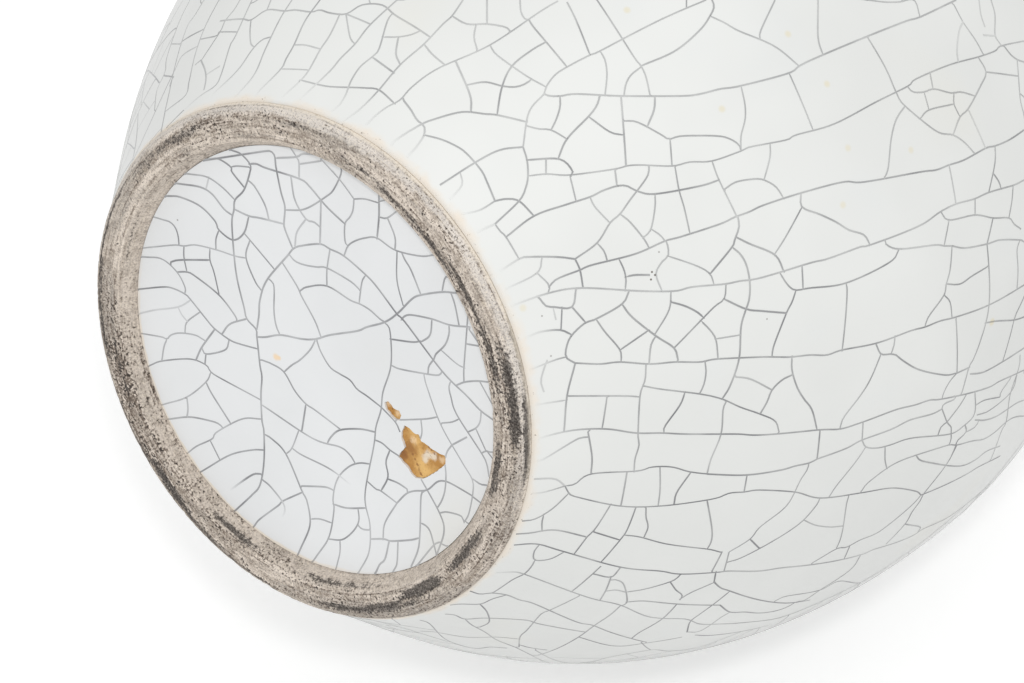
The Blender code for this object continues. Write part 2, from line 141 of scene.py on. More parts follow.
# Cracks of the body that the photograph shows, from the foot ring outwards, in its pixels
BODY_RUNS: tuple[Run, ...] = (
    Run(((463, 0), (452, 16), (443, 24), (424, 44), (400, 65), (378, 91), (360, 109),
        (343, 121)), Fade.END),
    Run(((452, 16), (467, 24), (487, 24), (505, 27), (510, 31))),
    Run(((487, 0), (487, 24))),
    Run(((476, 25), (474, 37), (477, 49))),
    Run(((366, 125), (375, 116), (387, 107), (400, 100), (412, 87), (437, 69), (490, 45), (541, 11),
        (558, 1)), Fade.START),
    Run(((520, 0), (521, 12), (525, 19), (529, 20))),
    Run(((529, 20), (536, 30), (567, 67))),
    Run(((490, 45), (497, 55), (525, 75), (546, 87))),
    Run(((546, 42), (532, 50), (512, 66), (502, 87), (497, 115))),
    Run(((467, 85), (485, 82), (502, 86), (515, 87), (525, 84), (532, 79))),
    Run(((456, 62), (470, 95), (471, 112))),
    Run(((391, 145), (397, 139), (420, 125), (435, 119), (462, 112), (485, 114), (497, 115),
        (527, 122)), Fade.START),
    Run(((523, 147), (529, 112), (544, 94), (546, 87), (555, 75), (567, 67), (590, 55), (600, 51),
        (660, 20), (706, 0))),
    Run(((567, 2), (576, 20), (590, 55))),
    Run(((597, 0), (632, 54), (641, 66), (646, 77), (650, 95))),
    Run(((641, 66), (675, 51), (700, 30), (710, 16), (714, 7), (712, 0))),
    Run(((710, 16), (725, 23), (739, 31), (774, 46), (799, 66))),
    Run(((600, 51), (605, 60), (607, 75), (605, 95))),
    Run(((544, 94), (550, 96), (561, 96), (576, 94), (622, 96), (680, 96), (700, 94), (720, 89),
        (740, 86), (789, 73), (809, 61), (901, 23), (920, 17), (956, 0))),
    Run(((641, 67), (631, 75), (626, 84), (624, 95))),
    Run(((560, 96), (560, 107), (556, 120), (551, 130))),
    Run(((600, 95), (597, 105), (589, 116), (567, 139), (558, 159))),
    Run(((527, 126), (539, 129), (551, 130), (567, 139))),
    Run(((589, 117), (610, 132), (624, 135))),
    Run(((621, 96), (626, 166))),
    Run(((655, 96), (654, 110), (647, 127))),
    Run(((624, 121), (637, 122), (660, 134), (669, 139), (682, 136), (717, 136), (730, 139), (739, 145),
        (741, 151))),
    Run(((670, 139), (672, 166))),
    Run(((528, 176), (547, 174), (570, 175), (615, 169), (626, 166), (640, 165), (672, 166), (690, 162),
        (712, 161), (741, 151), (750, 147), (786, 140), (796, 135), (834, 124), (876, 102), (908, 86),
        (916, 79), (949, 65), (978, 57), (995, 51), (1001, 46), (1024, 41))),
    Run(((440, 185), (476, 162), (500, 150), (523, 147))),
    Run(((404, 101), (411, 110), (417, 120), (424, 126), (424, 135), (417, 146), (407, 157)), Fade.END),
    Run(((424, 135), (440, 139), (452, 144), (465, 152), (481, 170), (487, 182), (495, 201))),
    Run(((523, 147), (527, 160), (528, 175), (526, 187), (519, 201), (495, 224))),
    Run(((527, 160), (559, 159), (572, 170), (571, 176))),
    Run(((546, 160), (546, 174))),
    Run(((570, 176), (576, 201))),
    Run(((506, 237), (534, 216), (565, 205), (590, 197), (602, 191), (617, 186), (627, 186), (637, 191),
        (655, 194), (700, 186), (719, 180))),
    Run(((615, 170), (617, 186))),
    Run(((649, 166), (647, 177), (630, 200), (620, 214), (610, 223), (597, 243), (575, 259))),
    Run(((675, 167), (679, 190), (684, 207), (690, 234))),
    Run(((712, 161), (719, 180), (737, 217))),
    Run(((590, 197), (595, 207), (610, 223))),
    Run(((655, 194), (655, 207), (651, 229), (644, 237))),
    Run(((620, 214), (630, 222), (644, 239), (649, 248))),
    Run(((651, 229), (660, 235), (665, 241))),
    Run(((549, 287), (557, 279), (580, 270), (592, 265), (635, 254), (665, 241), (680, 237), (720, 224),
        (735, 217), (749, 212), (764, 205), (801, 193), (843, 182), (864, 182), (920, 172), (936, 170),
        (949, 165), (964, 160), (986, 148), (995, 146), (1009, 140), (1024, 130))),
    Run(((495, 201), (506, 199), (519, 201), (534, 216))),
    Run(((495, 224), (500, 231), (506, 237), (519, 259))),
    Run(((495, 201), (480, 210), (462, 214)), Fade.END),
    Run(((495, 224), (477, 232)), Fade.END),
    Run(((460, 172), (462, 185), (450, 199)), Fade.END),
    Run(((775, 0), (761, 30), (760, 39))),
    Run(((818, 0), (818, 37), (823, 55))),
    Run(((868, 0), (884, 2), (899, 2), (914, 0), (920, 17))),
    Run(((954, 5), (963, 22), (976, 41), (983, 54))),
    Run(((963, 22), (959, 32), (957, 50), (958, 60)), Fade.FAINT),
    Run(((979, 0), (981, 15), (985, 27)), Fade.FAINT),
    Run(((991, 0), (995, 15), (995, 35), (1001, 45))),
    Run(((983, 35), (995, 36)), Fade.FAINT),
    Run(((1004, 46), (1011, 55), (1018, 60), (1024, 62))),
    Run(((868, 38), (886, 69), (896, 92), (905, 106), (936, 131), (953, 135), (964, 142), (975, 154))),
    Run(((789, 73), (813, 130))),
    Run(((741, 86), (745, 105), (745, 120), (741, 136), (741, 151))),
    Run(((908, 87), (913, 92), (924, 92), (934, 89), (951, 93), (961, 92), (975, 96))),
    Run(((930, 73), (933, 89))),
    Run(((924, 92), (929, 110))),
    Run(((920, 119), (929, 110), (954, 104))),
    Run(((954, 92), (954, 104), (960, 117))),
    Run(((978, 57), (986, 72), (981, 85), (968, 109), (960, 117), (953, 135))),
    Run(((986, 72), (1017, 76))),
    Run(((1017, 59), (1020, 97), (1024, 115))),
    Run(((968, 109), (985, 147)), Fade.FAINT),
    Run(((905, 106), (896, 120), (891, 140), (888, 169), (884, 178))),
    Run(((770, 143), (770, 157), (764, 180))),
    Run(((725, 189), (736, 182), (754, 179), (764, 180), (776, 187), (784, 199))),
    Run(((801, 193), (802, 207), (819, 214), (836, 222), (849, 230), (864, 235), (870, 245))),
    Run(((802, 207), (785, 238), (774, 255))),
    Run(((949, 165), (956, 204))),
    Run(((511, 306), (549, 293), (582, 288), (640, 291), (675, 291), (692, 287), (725, 284), (740, 281),
        (760, 278), (810, 263), (827, 259), (860, 247), (870, 245), (919, 226), (940, 212), (956, 204),
        (974, 199), (990, 192), (1014, 185), (1024, 180)), Fade.START),
    Run(((995, 146), (995, 162), (989, 191))),
    Run(((993, 173), (999, 182), (1001, 189))),
    Run(((941, 212), (949, 220), (975, 215), (993, 218), (1009, 218), (1014, 224), (1021, 229))),
    Run(((975, 199), (975, 215))),
    Run(((1013, 186), (1012, 200), (1009, 217))),
    Run(((949, 220), (944, 246))),
    Run(((993, 218), (987, 244))),
    Run(((738, 217), (739, 227), (735, 239), (732, 247), (710, 274))),
    Run(((500, 271), (519, 259), (527, 257), (557, 257), (575, 259)), Fade.START),
    Run(((597, 243), (604, 251), (607, 260))),
    Run(((666, 241), (668, 247), (668, 256), (662, 262), (656, 274), (662, 291))),
    Run(((668, 256), (697, 266), (710, 274), (714, 285))),
    Run(((619, 259), (624, 270), (626, 280), (625, 291))),
    Run(((625, 277), (635, 275), (650, 275))),
    Run(((736, 237), (750, 244), (775, 255), (784, 272))),
    Run(((732, 247), (741, 255), (747, 267), (750, 285), (749, 300), (746, 309))),
    Run(((537, 273), (549, 285), (548, 293))),
    Run(((542, 257), (537, 273), (506, 289)), Fade.END),
    Run(((575, 259), (580, 270), (583, 288))),
    Run(((540, 299), (546, 306), (554, 307), (572, 307), (576, 289))),
    Run(((572, 307), (586, 323))),
    Run(((562, 307), (561, 329))),
    Run(((526, 338), (540, 332), (560, 330), (572, 335)), Fade.START),
    Run(((575, 363), (566, 357), (567, 345), (572, 335), (585, 323), (596, 319), (622, 304), (629, 291))),
    Run(((530, 370), (555, 360), (566, 357)), Fade.START),
    Run(((596, 319), (605, 332), (620, 350), (621, 362))),
    Run(((622, 304), (632, 317), (656, 336), (674, 348), (678, 360))),
    Run(((620, 350), (649, 330))),
    Run(((656, 336), (651, 345), (649, 364))),
    Run(((655, 334), (669, 310), (671, 291))),
    Run(((671, 302), (685, 306), (697, 312), (704, 318))),
    Run(((674, 348), (712, 309), (724, 299), (726, 284))),
    Run(((724, 299), (746, 309), (762, 311), (786, 313))),
    Run(((700, 320), (710, 330), (716, 340), (718, 359))),
    Run(((715, 339), (740, 335))),
    Run(((746, 309), (741, 327), (739, 359), (730, 386), (722, 399))),
    Run(((796, 290), (792, 302), (786, 314), (774, 345), (772, 357))),
    Run(((575, 363), (600, 364), (620, 362), (650, 364), (675, 362), (700, 362), (717, 359), (762, 357),
        (790, 357), (810, 355), (827, 355), (842, 350), (877, 343), (910, 331), (925, 327), (940, 321),
        (956, 317), (989, 305), (1024, 285))),
    Run(((575, 364), (567, 396), (564, 431))),
    Run(((569, 396), (625, 396), (640, 397))),
    Run(((607, 397), (602, 429))),
    Run(((646, 364), (645, 380), (640, 396), (638, 433), (639, 445), (635, 459), (634, 472))),
    Run(((644, 386), (660, 389), (700, 394), (722, 399), (740, 407), (760, 414), (775, 421), (779, 432))),
    Run(((705, 362), (706, 372), (704, 384), (700, 393))),
    Run(((685, 392), (680, 405), (665, 426), (664, 433))),
    Run(((780, 273), (787, 284), (795, 290), (810, 288), (846, 283), (890, 262), (899, 249))),
    Run(((802, 266), (803, 289))),
    Run(((885, 240), (887, 245), (900, 249), (935, 245), (944, 246), (952, 246), (965, 248), (987, 244),
        (1000, 240), (1020, 240), (1024, 242))),
    Run(((952, 246), (950, 270), (946, 285), (944, 295), (929, 316), (925, 326))),
    Run(((944, 295), (950, 302), (952, 318))),
    Run(((946, 284), (960, 284), (972, 276), (987, 267))),
    Run(((987, 244), (989, 305), (980, 342), (972, 362), (969, 367), (962, 392))),
    Run(((1020, 240), (1017, 250), (1018, 270), (1017, 288))),
    Run(((985, 323), (997, 321), (1014, 320), (1024, 317))),
    Run(((1014, 320), (1003, 360))),
    Run(((956, 319), (957, 371))),
    Run(((970, 374), (980, 373), (990, 369), (1024, 348))),
    Run(((896, 355), (905, 362), (920, 370), (945, 375), (957, 373))),
    Run(((957, 373), (970, 367))),
    Run(((876, 344), (881, 354), (891, 354), (896, 355))),
    Run(((895, 336), (894, 345), (891, 354))),
    Run(((881, 354), (870, 380), (860, 396), (844, 417), (840, 428))),
    Run(((846, 283), (847, 295), (842, 351))),
    Run(((792, 356), (792, 370), (797, 387), (804, 399), (812, 410), (817, 430))),
    Run(((760, 414), (767, 402), (772, 390), (782, 380), (792, 375))),
    Run(((820, 430), (817, 459))),
    Run(((817, 459), (847, 448), (862, 440), (892, 429), (910, 420), (932, 414), (942, 409))),
    Run(((863, 423), (862, 440))),
    Run(((862, 440), (866, 447), (877, 448), (890, 445), (912, 438), (950, 434), (960, 429))),
    Run(((942, 399), (944, 392), (950, 381), (957, 373))),
    Run(((966, 395), (960, 405), (947, 422))),
    Run(((942, 409), (947, 422), (951, 427), (951, 433))),
    Run(((942, 409), (944, 404), (955, 399), (954, 396))),
    Run(((947, 422), (941, 427), (938, 435))),
    Run(((951, 433), (951, 439), (949, 445))),
    Run(((975, 392), (974, 415), (960, 429))),
    Run(((965, 425), (966, 432), (957, 441), (956, 445), (950, 459))),
    Run(((976, 405), (985, 400), (1000, 397))),
    Run(((1000, 397), (1001, 392), (1010, 379))),
    Run(((977, 415), (990, 410), (1011, 392), (1017, 375))),
    Run(((975, 420), (985, 420), (997, 416), (1015, 404), (1024, 400))),
    Run(((966, 432), (975, 427), (979, 420))),
    Run(((1020, 355), (1019, 367), (1010, 395), (1006, 422), (1001, 432), (991, 459))),
    Run(((588, 432), (592, 457), (591, 473))),
    Run(((564, 486), (575, 484), (591, 474), (637, 471), (652, 467), (672, 467), (691, 472), (720, 475))),
    Run(((534, 479), (555, 479), (565, 486)), Fade.FAINT),
    Run(((531, 494), (545, 492), (565, 486)), Fade.START),
    Run(((565, 486), (569, 493), (577, 497), (620, 506), (660, 506), (707, 500), (720, 497))),
    Run(((522, 521), (535, 519), (552, 509), (569, 493))),
    Run(((544, 514), (542, 522), (542, 531))),
    Run(((516, 534), (530, 533), (555, 530), (587, 537))),
    Run(((611, 504), (595, 529), (587, 537), (574, 554))),
    Run(((627, 472), (621, 505))),
    Run(((660, 467), (660, 490), (658, 506))),
    Run(((691, 472), (677, 492), (674, 504))),
    Run(((636, 507), (627, 530), (620, 540), (601, 562))),
    Run(((594, 532), (620, 540))),
    Run(((624, 535), (640, 537), (667, 544), (707, 549), (720, 552))),
    Run(((646, 508), (646, 517), (648, 527), (644, 537))),
    Run(((707, 500), (712, 530), (711, 542), (707, 549))),
    Run(((514, 545), (537, 544), (562, 551), (620, 567), (660, 571), (680, 574), (720, 572))),
    Run(((539, 545), (534, 552), (535, 560), (550, 559), (564, 552))),
    Run(((535, 560), (531, 567), (524, 574), (512, 580), (494, 592))),
    Run(((495, 573), (515, 572), (524, 574)), Fade.START),
    Run(((524, 574), (587, 597), (620, 605), (650, 617), (685, 619), (700, 624), (720, 624))),
    Run(((601, 566), (571, 592))),
    Run(((594, 574), (611, 577), (620, 568))),
    Run(((611, 577), (606, 590), (600, 600))),
    Run(((611, 580), (617, 580), (624, 585), (627, 602), (620, 606))),
    Run(((606, 591), (616, 590), (625, 592))),
    Run(((626, 592), (645, 589), (672, 581), (680, 575))),
    Run(((671, 583), (676, 590), (682, 595), (680, 600))),
    Run(((680, 599), (692, 592), (715, 582))),
    Run(((626, 602), (645, 601), (677, 604), (720, 605))),
    Run(((677, 604), (662, 619), (640, 632), (632, 638))),
    Run(((470, 591), (480, 594), (492, 593), (507, 595), (520, 600), (535, 604), (577, 622), (592, 625),
        (610, 632), (646, 642))),
    Run(((506, 595), (492, 599), (480, 604), (460, 604), (450, 605))),
    Run(((480, 604), (487, 612), (489, 622), (480, 627))),
    Run(((445, 614), (455, 615), (465, 619), (485, 618), (525, 620), (540, 624), (585, 632))),
    Run(((620, 606), (610, 615), (595, 625), (580, 636), (542, 654))),
    Run(((579, 596), (550, 610), (540, 615), (527, 630), (520, 637), (519, 647))),
    Run(((420, 620), (430, 624), (447, 640), (472, 648), (490, 647), (507, 648))),
    Run(((465, 619), (472, 625), (485, 632), (497, 640), (517, 648), (535, 657), (550, 663))),
    Run(((420, 631), (435, 632), (465, 637), (495, 637), (520, 639))),
    Run(((520, 645), (532, 648), (547, 650))),
    Run(((542, 654), (555, 660), (570, 663), (590, 662), (610, 657), (650, 650), (670, 651), (695, 648),
        (720, 640))),
    Run(((579, 637), (615, 646), (646, 643))),
    Run(((641, 642), (646, 647), (651, 650))),
    Run(((646, 643), (682, 637))),
    Run(((707, 474), (746, 475), (781, 470), (795, 466), (809, 463), (817, 459))),
    Run(((720, 497), (730, 493), (744, 492), (760, 490), (795, 492), (820, 498), (860, 493), (892, 488),
        (915, 491), (921, 495))),
    Run(((747, 475), (744, 492))),
    Run(((809, 463), (807, 470), (800, 481), (790, 501), (781, 511), (760, 527), (750, 539), (729, 552))),
    Run(((820, 498), (815, 507), (795, 527), (745, 556), (728, 562))),
    Run(((804, 520), (815, 525), (830, 527), (842, 526))),
    Run(((849, 495), (846, 507), (841, 537), (836, 549))),
    Run(((865, 448), (857, 460), (837, 485), (829, 497))),
    Run(((885, 447), (885, 460), (887, 469))),
    Run(((860, 493), (870, 481), (900, 461), (945, 446), (957, 445), (972, 441), (984, 439), (995, 432),
        (1006, 422), (1015, 417), (1024, 416))),
    Run(((916, 455), (920, 460), (932, 463), (960, 466), (975, 460), (987, 451), (1000, 446))),
    Run(((957, 445), (946, 465), (925, 492), (920, 501), (912, 512), (905, 524), (886, 544))),
    Run(((921, 495), (965, 475), (980, 466), (1000, 456))),
    Run(((921, 495), (912, 505), (887, 526), (875, 534), (860, 540), (847, 547), (836, 549), (812, 563))),
    Run(((720, 572), (730, 571), (759, 571), (780, 568), (800, 566), (860, 555), (875, 549), (910, 537),
        (925, 528), (945, 519), (960, 509), (990, 484))),
    Run(((905, 524), (920, 527), (917, 533))),
    Run(((850, 545), (844, 559))),
    Run(((750, 539), (759, 548))),
    Run(((722, 552), (712, 571))),
    Run(((729, 552), (724, 571))),
    Run(((716, 571), (714, 582))),
    Run(((714, 582), (721, 588), (730, 591), (760, 600), (787, 603), (810, 600))),
    Run(((730, 591), (700, 614), (690, 622), (687, 632))),
    Run(((720, 605), (730, 612), (745, 612), (760, 613), (775, 611), (787, 607), (796, 602), (805, 600),
        (820, 590), (850, 570), (860, 556))),
    Run(((730, 612), (720, 618), (700, 631), (687, 632))),
    Run(((720, 624), (750, 622), (782, 617), (820, 602))),
    Run(((775, 601), (787, 596), (820, 590), (840, 581), (860, 583))),
    Run(((695, 635), (715, 635), (770, 625)), Fade.END),
    Run(((538, 440), (547, 436), (575, 430), (607, 429), (636, 433), (662, 433), (685, 434), (735, 434),
        (760, 435), (817, 430), (840, 429), (860, 423), (895, 410), (915, 405), (930, 400), (942, 399),
        (987, 388), (1000, 381), (1024, 370)), Fade.START),
    Run(((726, 402), (723, 410), (721, 434), (711, 459), (707, 474))),
    Run(((537, 461), (544, 459), (572, 442), (580, 438), (588, 437)), Fade.START),
    Run(((535, 405), (567, 400)), Fade.START),
    Run(((736, 377), (746, 378), (755, 381), (772, 390))),
    Run(((547, 360), (541, 380), (544, 392)), Fade.FAINT),
    Run(((553, 307), (556, 320)), Fade.FAINT),
    Run(((397, 0), (370, 25), (355, 44), (340, 59), (330, 71), (300, 99)), Fade.END),
    Run(((320, 0), (305, 21), (294, 45), (286, 59), (281, 69), (260, 90), (256, 96)), Fade.END),
    Run(((292, 0), (280, 19), (265, 50), (254, 75), (235, 97)), Fade.END),
    Run(((271, 0), (267, 10))),
    Run(((220, 21), (242, 19), (251, 20), (267, 10), (284, 11), (295, 10), (311, 12), (320, 10),
        (330, 13), (346, 14), (362, 5), (382, 5), (395, 15), (415, 27), (430, 37))),
    Run(((346, 14), (370, 24))),
    Run(((346, 14), (350, 37), (355, 44))),
    Run(((340, 14), (330, 35), (320, 50), (309, 70), (300, 81), (282, 97)), Fade.END),
    Run(((295, 45), (305, 45), (320, 49))),
    Run(((280, 69), (309, 70))),
    Run(((300, 80), (320, 85), (335, 87), (365, 88), (379, 90), (395, 104))),
    Run(((424, 44), (432, 54), (445, 65))),
    Run(((392, 14), (387, 22), (379, 49), (372, 57), (360, 67), (351, 81), (346, 94), (340, 104),
        (332, 111)), Fade.END),
    Run(((382, 37), (397, 37), (410, 35), (420, 31))),
    Run(((398, 39), (396, 54), (400, 64))),
    Run(((372, 57), (394, 73))),
    Run(((251, 20), (250, 32), (251, 44), (255, 47))),
    Run(((271, 37), (262, 40), (252, 50), (237, 71), (212, 95)), Fade.END),
    Run(((252, 0), (236, 35), (230, 46), (221, 75), (215, 86), (200, 96), (184, 110)), Fade.END),
    Run(((240, 0), (234, 10), (225, 21), (220, 32), (201, 61))),
    Run(((220, 32), (237, 32))),
    Run(((219, 0), (205, 27), (195, 55), (189, 82), (185, 96), (165, 112))),
    Run(((201, 60), (205, 70), (206, 79), (204, 90))),
    Run(((201, 60), (195, 65))),
    Run(((220, 66), (206, 75)), Fade.FAINT),
    Run(((202, 39), (216, 36), (219, 32))),
    Run(((198, 46), (182, 56), (175, 70))),
    Run(((204, 0), (195, 15), (187, 27), (176, 62), (165, 111))),
    Run(((190, 0), (180, 20), (167, 57), (165, 72), (157, 90), (155, 105))),
    Run(((171, 44), (180, 44))),
    Run(((167, 76), (174, 77))),
)

# Cracks of the base that the photograph shows, in its pixels
BASE_RUNS: tuple[Run, ...] = (
    Run(((234, 151), (241, 154), (250, 164), (250, 172), (244, 190), (235, 200), (234, 210), (232, 225),
        (236, 272), (244, 307), (247, 319), (256, 329), (257, 337), (260, 365), (262, 377), (261, 395),
        (262, 420), (264, 432), (264, 462), (260, 485), (252, 495), (237, 509))),
    Run(((246, 154), (267, 151), (272, 152), (275, 157), (276, 167), (281, 192), (285, 207), (284, 224),
        (286, 232), (293, 249))),
    Run(((211, 159), (219, 159), (231, 167), (232, 172), (244, 187))),
    Run(((231, 167), (237, 166), (249, 167))),
    Run(((249, 164), (257, 164), (266, 168), (300, 179), (310, 187), (327, 207), (345, 224))),
    Run(((275, 158), (296, 157), (302, 154), (309, 154))),
    Run(((296, 157), (299, 162), (299, 179))),
    Run(((300, 164), (321, 161))),
    Run(((321, 159), (340, 180), (354, 199))),
    Run(((341, 167), (341, 174), (334, 189), (327, 196), (305, 209), (285, 210))),
    Run(((291, 177), (295, 200), (306, 219), (314, 222), (320, 227))),
    Run(((321, 200), (320, 244))),
    Run(((306, 219), (297, 232), (295, 246))),
    Run(((354, 199), (365, 199), (379, 203))),
    Run(((354, 199), (353, 210), (350, 217), (345, 224), (345, 241), (348, 246))),
    Run(((379, 195), (379, 217), (377, 239))),
    Run(((379, 217), (387, 218), (397, 211))),
    Run(((388, 219), (395, 237), (395, 250))),
    Run(((344, 256), (348, 246), (355, 241), (365, 238), (377, 238), (395, 250), (420, 256), (434, 255))),
    Run(((289, 254), (293, 249), (300, 246), (320, 244), (330, 249), (344, 256), (366, 275), (377, 287),
        (397, 314), (405, 322), (442, 371), (467, 396), (480, 410), (492, 419))),
    Run(((257, 329), (259, 315), (260, 300), (267, 280), (289, 254))),
    Run(((289, 254), (295, 261), (305, 265), (317, 267), (327, 268), (350, 281), (359, 289))),
    Run(((330, 249), (327, 270), (327, 286))),
    Run(((300, 291), (307, 287), (327, 286), (350, 300), (360, 304), (370, 310), (380, 319), (385, 322))),
    Run(((366, 275), (362, 282), (359, 304))),
    Run(((282, 262), (297, 286), (302, 297), (315, 321), (321, 337))),
    Run(((257, 337), (266, 337), (281, 335), (302, 339), (316, 339), (330, 335), (357, 331), (367, 327),
        (385, 322), (398, 313), (412, 299), (421, 295), (442, 292), (456, 293))),
    Run(((269, 279), (274, 286), (274, 310), (276, 325), (280, 335))),
    Run(((249, 181), (255, 187), (265, 205), (269, 220))),
    Run(((234, 209), (249, 216), (260, 218), (284, 224))),
    Run(((249, 216), (244, 233), (233, 240), (219, 230), (215, 221), (200, 206), (180, 197), (169, 196))),
    Run(((244, 233), (275, 270))),
    Run(((250, 240), (246, 257), (255, 281), (262, 291))),
    Run(((153, 247), (175, 245), (184, 246), (196, 245), (217, 250), (235, 256), (246, 258))),
    Run(((219, 230), (216, 239), (216, 249))),
    Run(((164, 220), (170, 222), (175, 227), (178, 235), (179, 244))),
    Run(((181, 184), (200, 187), (212, 194), (224, 209), (232, 215))),
    Run(((189, 174), (207, 177), (222, 187), (235, 200))),
    Run(((209, 177), (206, 189)), Fade.FAINT),
    Run(((184, 246), (184, 257), (187, 272))),
    Run(((171, 262), (180, 260), (210, 260))),
    Run(((210, 248), (210, 260), (214, 272), (219, 294))),
    Run(((145, 257), (162, 259), (177, 272), (185, 287), (185, 293))),
    Run(((177, 272), (187, 272), (195, 276), (219, 295), (234, 314), (237, 320))),
    Run(((141, 289), (162, 287), (172, 288), (185, 294), (191, 300), (207, 320), (215, 329), (230, 340),
        (240, 344), (258, 349))),
    Run(((142, 313), (155, 310), (178, 307), (191, 300)), Fade.FAINT),
    Run(((178, 307), (182, 315), (187, 321)), Fade.FAINT),
    Run(((200, 312), (187, 322), (185, 332))),
    Run(((246, 319), (230, 324), (222, 334))),
    Run(((145, 334), (162, 337), (167, 339), (171, 335), (180, 333), (195, 335), (204, 340))),
    Run(((215, 329), (202, 347), (196, 360))),
    Run(((202, 347), (206, 354), (225, 350), (229, 341))),
    Run(((206, 354), (205, 364))),
    Run(((167, 339), (164, 347), (162, 360))),
    Run(((151, 365), (162, 361), (190, 359), (206, 365), (211, 372), (222, 379), (261, 400))),
    Run(((211, 372), (206, 382), (187, 397), (165, 404))),
    Run(((187, 397), (188, 409), (187, 417))),
    Run(((206, 382), (212, 394), (231, 424))),
    Run(((170, 419), (190, 417), (211, 421), (219, 424), (223, 428))),
    Run(((189, 452), (197, 446), (212, 439), (217, 432), (242, 419), (261, 419))),
    Run(((210, 440), (220, 460))),
    Run(((204, 470), (230, 455), (252, 450), (264, 450))),
    Run(((261, 474), (252, 475), (230, 490)), Fade.END),
    Run(((264, 481), (270, 486), (282, 501), (285, 510), (282, 517)), Fade.END),
    Run(((255, 525), (260, 519), (279, 505), (283, 501), (303, 492))),
    Run(((262, 360), (272, 364), (284, 372), (295, 391), (306, 404), (315, 410), (340, 429))),
    Run(((284, 372), (292, 365), (300, 360), (310, 350), (315, 341))),
    Run(((317, 341), (321, 352), (330, 367), (340, 374), (350, 380), (357, 389), (367, 396), (376, 403),
        (381, 407), (387, 413), (396, 423), (400, 432))),
    Run(((306, 404), (302, 430))),
    Run(((262, 405), (312, 438), (340, 447), (350, 455), (355, 463))),
    Run(((299, 430), (292, 448), (286, 454))),
    Run(((264, 434), (272, 439), (286, 454), (302, 491), (307, 501), (310, 525), (300, 550))),
    Run(((292, 448), (302, 455), (330, 469), (351, 485)), Fade.END),
    Run(((327, 444), (331, 437), (340, 430), (360, 429), (375, 432))),
    Run(((302, 486), (325, 487), (333, 490))),
    Run(((370, 464), (360, 463), (350, 466), (340, 475), (335, 486), (333, 500), (334, 510), (329, 537),
        (316, 557))),
    Run(((310, 519), (320, 519), (332, 523))),
    Run(((333, 504), (347, 508), (366, 508))),
    Run(((329, 539), (340, 540), (347, 537), (355, 529), (359, 520), (358, 508))),
    Run(((358, 525), (362, 529), (369, 530))),
    Run(((340, 540), (340, 552), (337, 565))),
    Run(((385, 323), (390, 331), (391, 365), (383, 392), (381, 410), (376, 427), (374, 445), (365, 495),
        (370, 525), (369, 552), (359, 572))),
    Run(((375, 440), (382, 443), (390, 450), (399, 456))),
    Run(((390, 450), (386, 462), (388, 477), (381, 491))),
    Run(((367, 481), (376, 489), (381, 491), (397, 503))),
    Run(((388, 479), (398, 483), (407, 489))),
    Run(((397, 503), (385, 523), (383, 540))),
    Run(((371, 539), (384, 539), (391, 541), (410, 540), (419, 538))),
    Run(((389, 542), (385, 559), (380, 564), (377, 570))),
    Run(((398, 542), (397, 563), (394, 570))),
    Run(((397, 251), (397, 280), (403, 305))),
    Run(((402, 253), (405, 260), (411, 270), (421, 295))),
    Run(((449, 277), (445, 278), (442, 292))),
    Run(((401, 320), (405, 316), (412, 315), (432, 319), (450, 325), (470, 327))),
    Run(((451, 293), (455, 305), (459, 325))),
    Run(((432, 319), (430, 335), (421, 342))),
    Run(((390, 339), (412, 342), (421, 341))),
    Run(((449, 325), (449, 334), (445, 345), (436, 354), (434, 359), (429, 366), (428, 374))),
    Run(((441, 350), (457, 364), (465, 368))),
    Run(((467, 327), (464, 367), (464, 381))),
    Run(((467, 327), (479, 341)), Fade.FAINT),
    Run(((467, 344), (479, 346))),
    Run(((391, 365), (400, 369), (427, 374), (439, 375), (442, 371))),
    Run(((424, 375), (427, 387), (441, 425), (462, 462), (472, 479), (473, 492), (469, 513), (465, 521))),
    Run(((437, 417), (425, 419), (396, 420))),
    Run(((421, 420), (422, 432), (420, 440))),
    Run(((451, 381), (449, 387), (451, 397), (457, 415), (482, 454), (487, 465), (489, 477))),
    Run(((457, 385), (465, 382), (477, 381), (488, 382))),
    Run(((480, 382), (491, 402))),
    Run(((442, 423), (452, 422), (459, 419))),
    Run(((481, 414), (480, 422), (476, 428), (468, 432))),
    Run(((476, 429), (486, 451))),
    Run(((482, 453), (486, 451), (490, 452))),
    Run(((452, 445), (467, 437))),
    Run(((452, 445), (447, 452), (445, 462), (446, 475), (445, 490), (442, 500), (438, 507))),
    Run(((397, 503), (406, 494), (414, 491), (427, 490), (437, 482), (444, 481), (452, 484), (471, 495))),
    Run(((421, 479), (440, 514), (444, 532), (437, 554))),
    Run(((424, 491), (421, 497), (420, 532), (418, 550), (411, 567))),
    Run(((440, 513), (447, 512), (461, 516), (464, 523))),
    Run(((473, 479), (480, 484), (485, 485))),
    Run(((420, 523), (425, 525), (430, 531), (434, 545))),
    Run(((441, 542), (434, 545), (419, 563))),
)


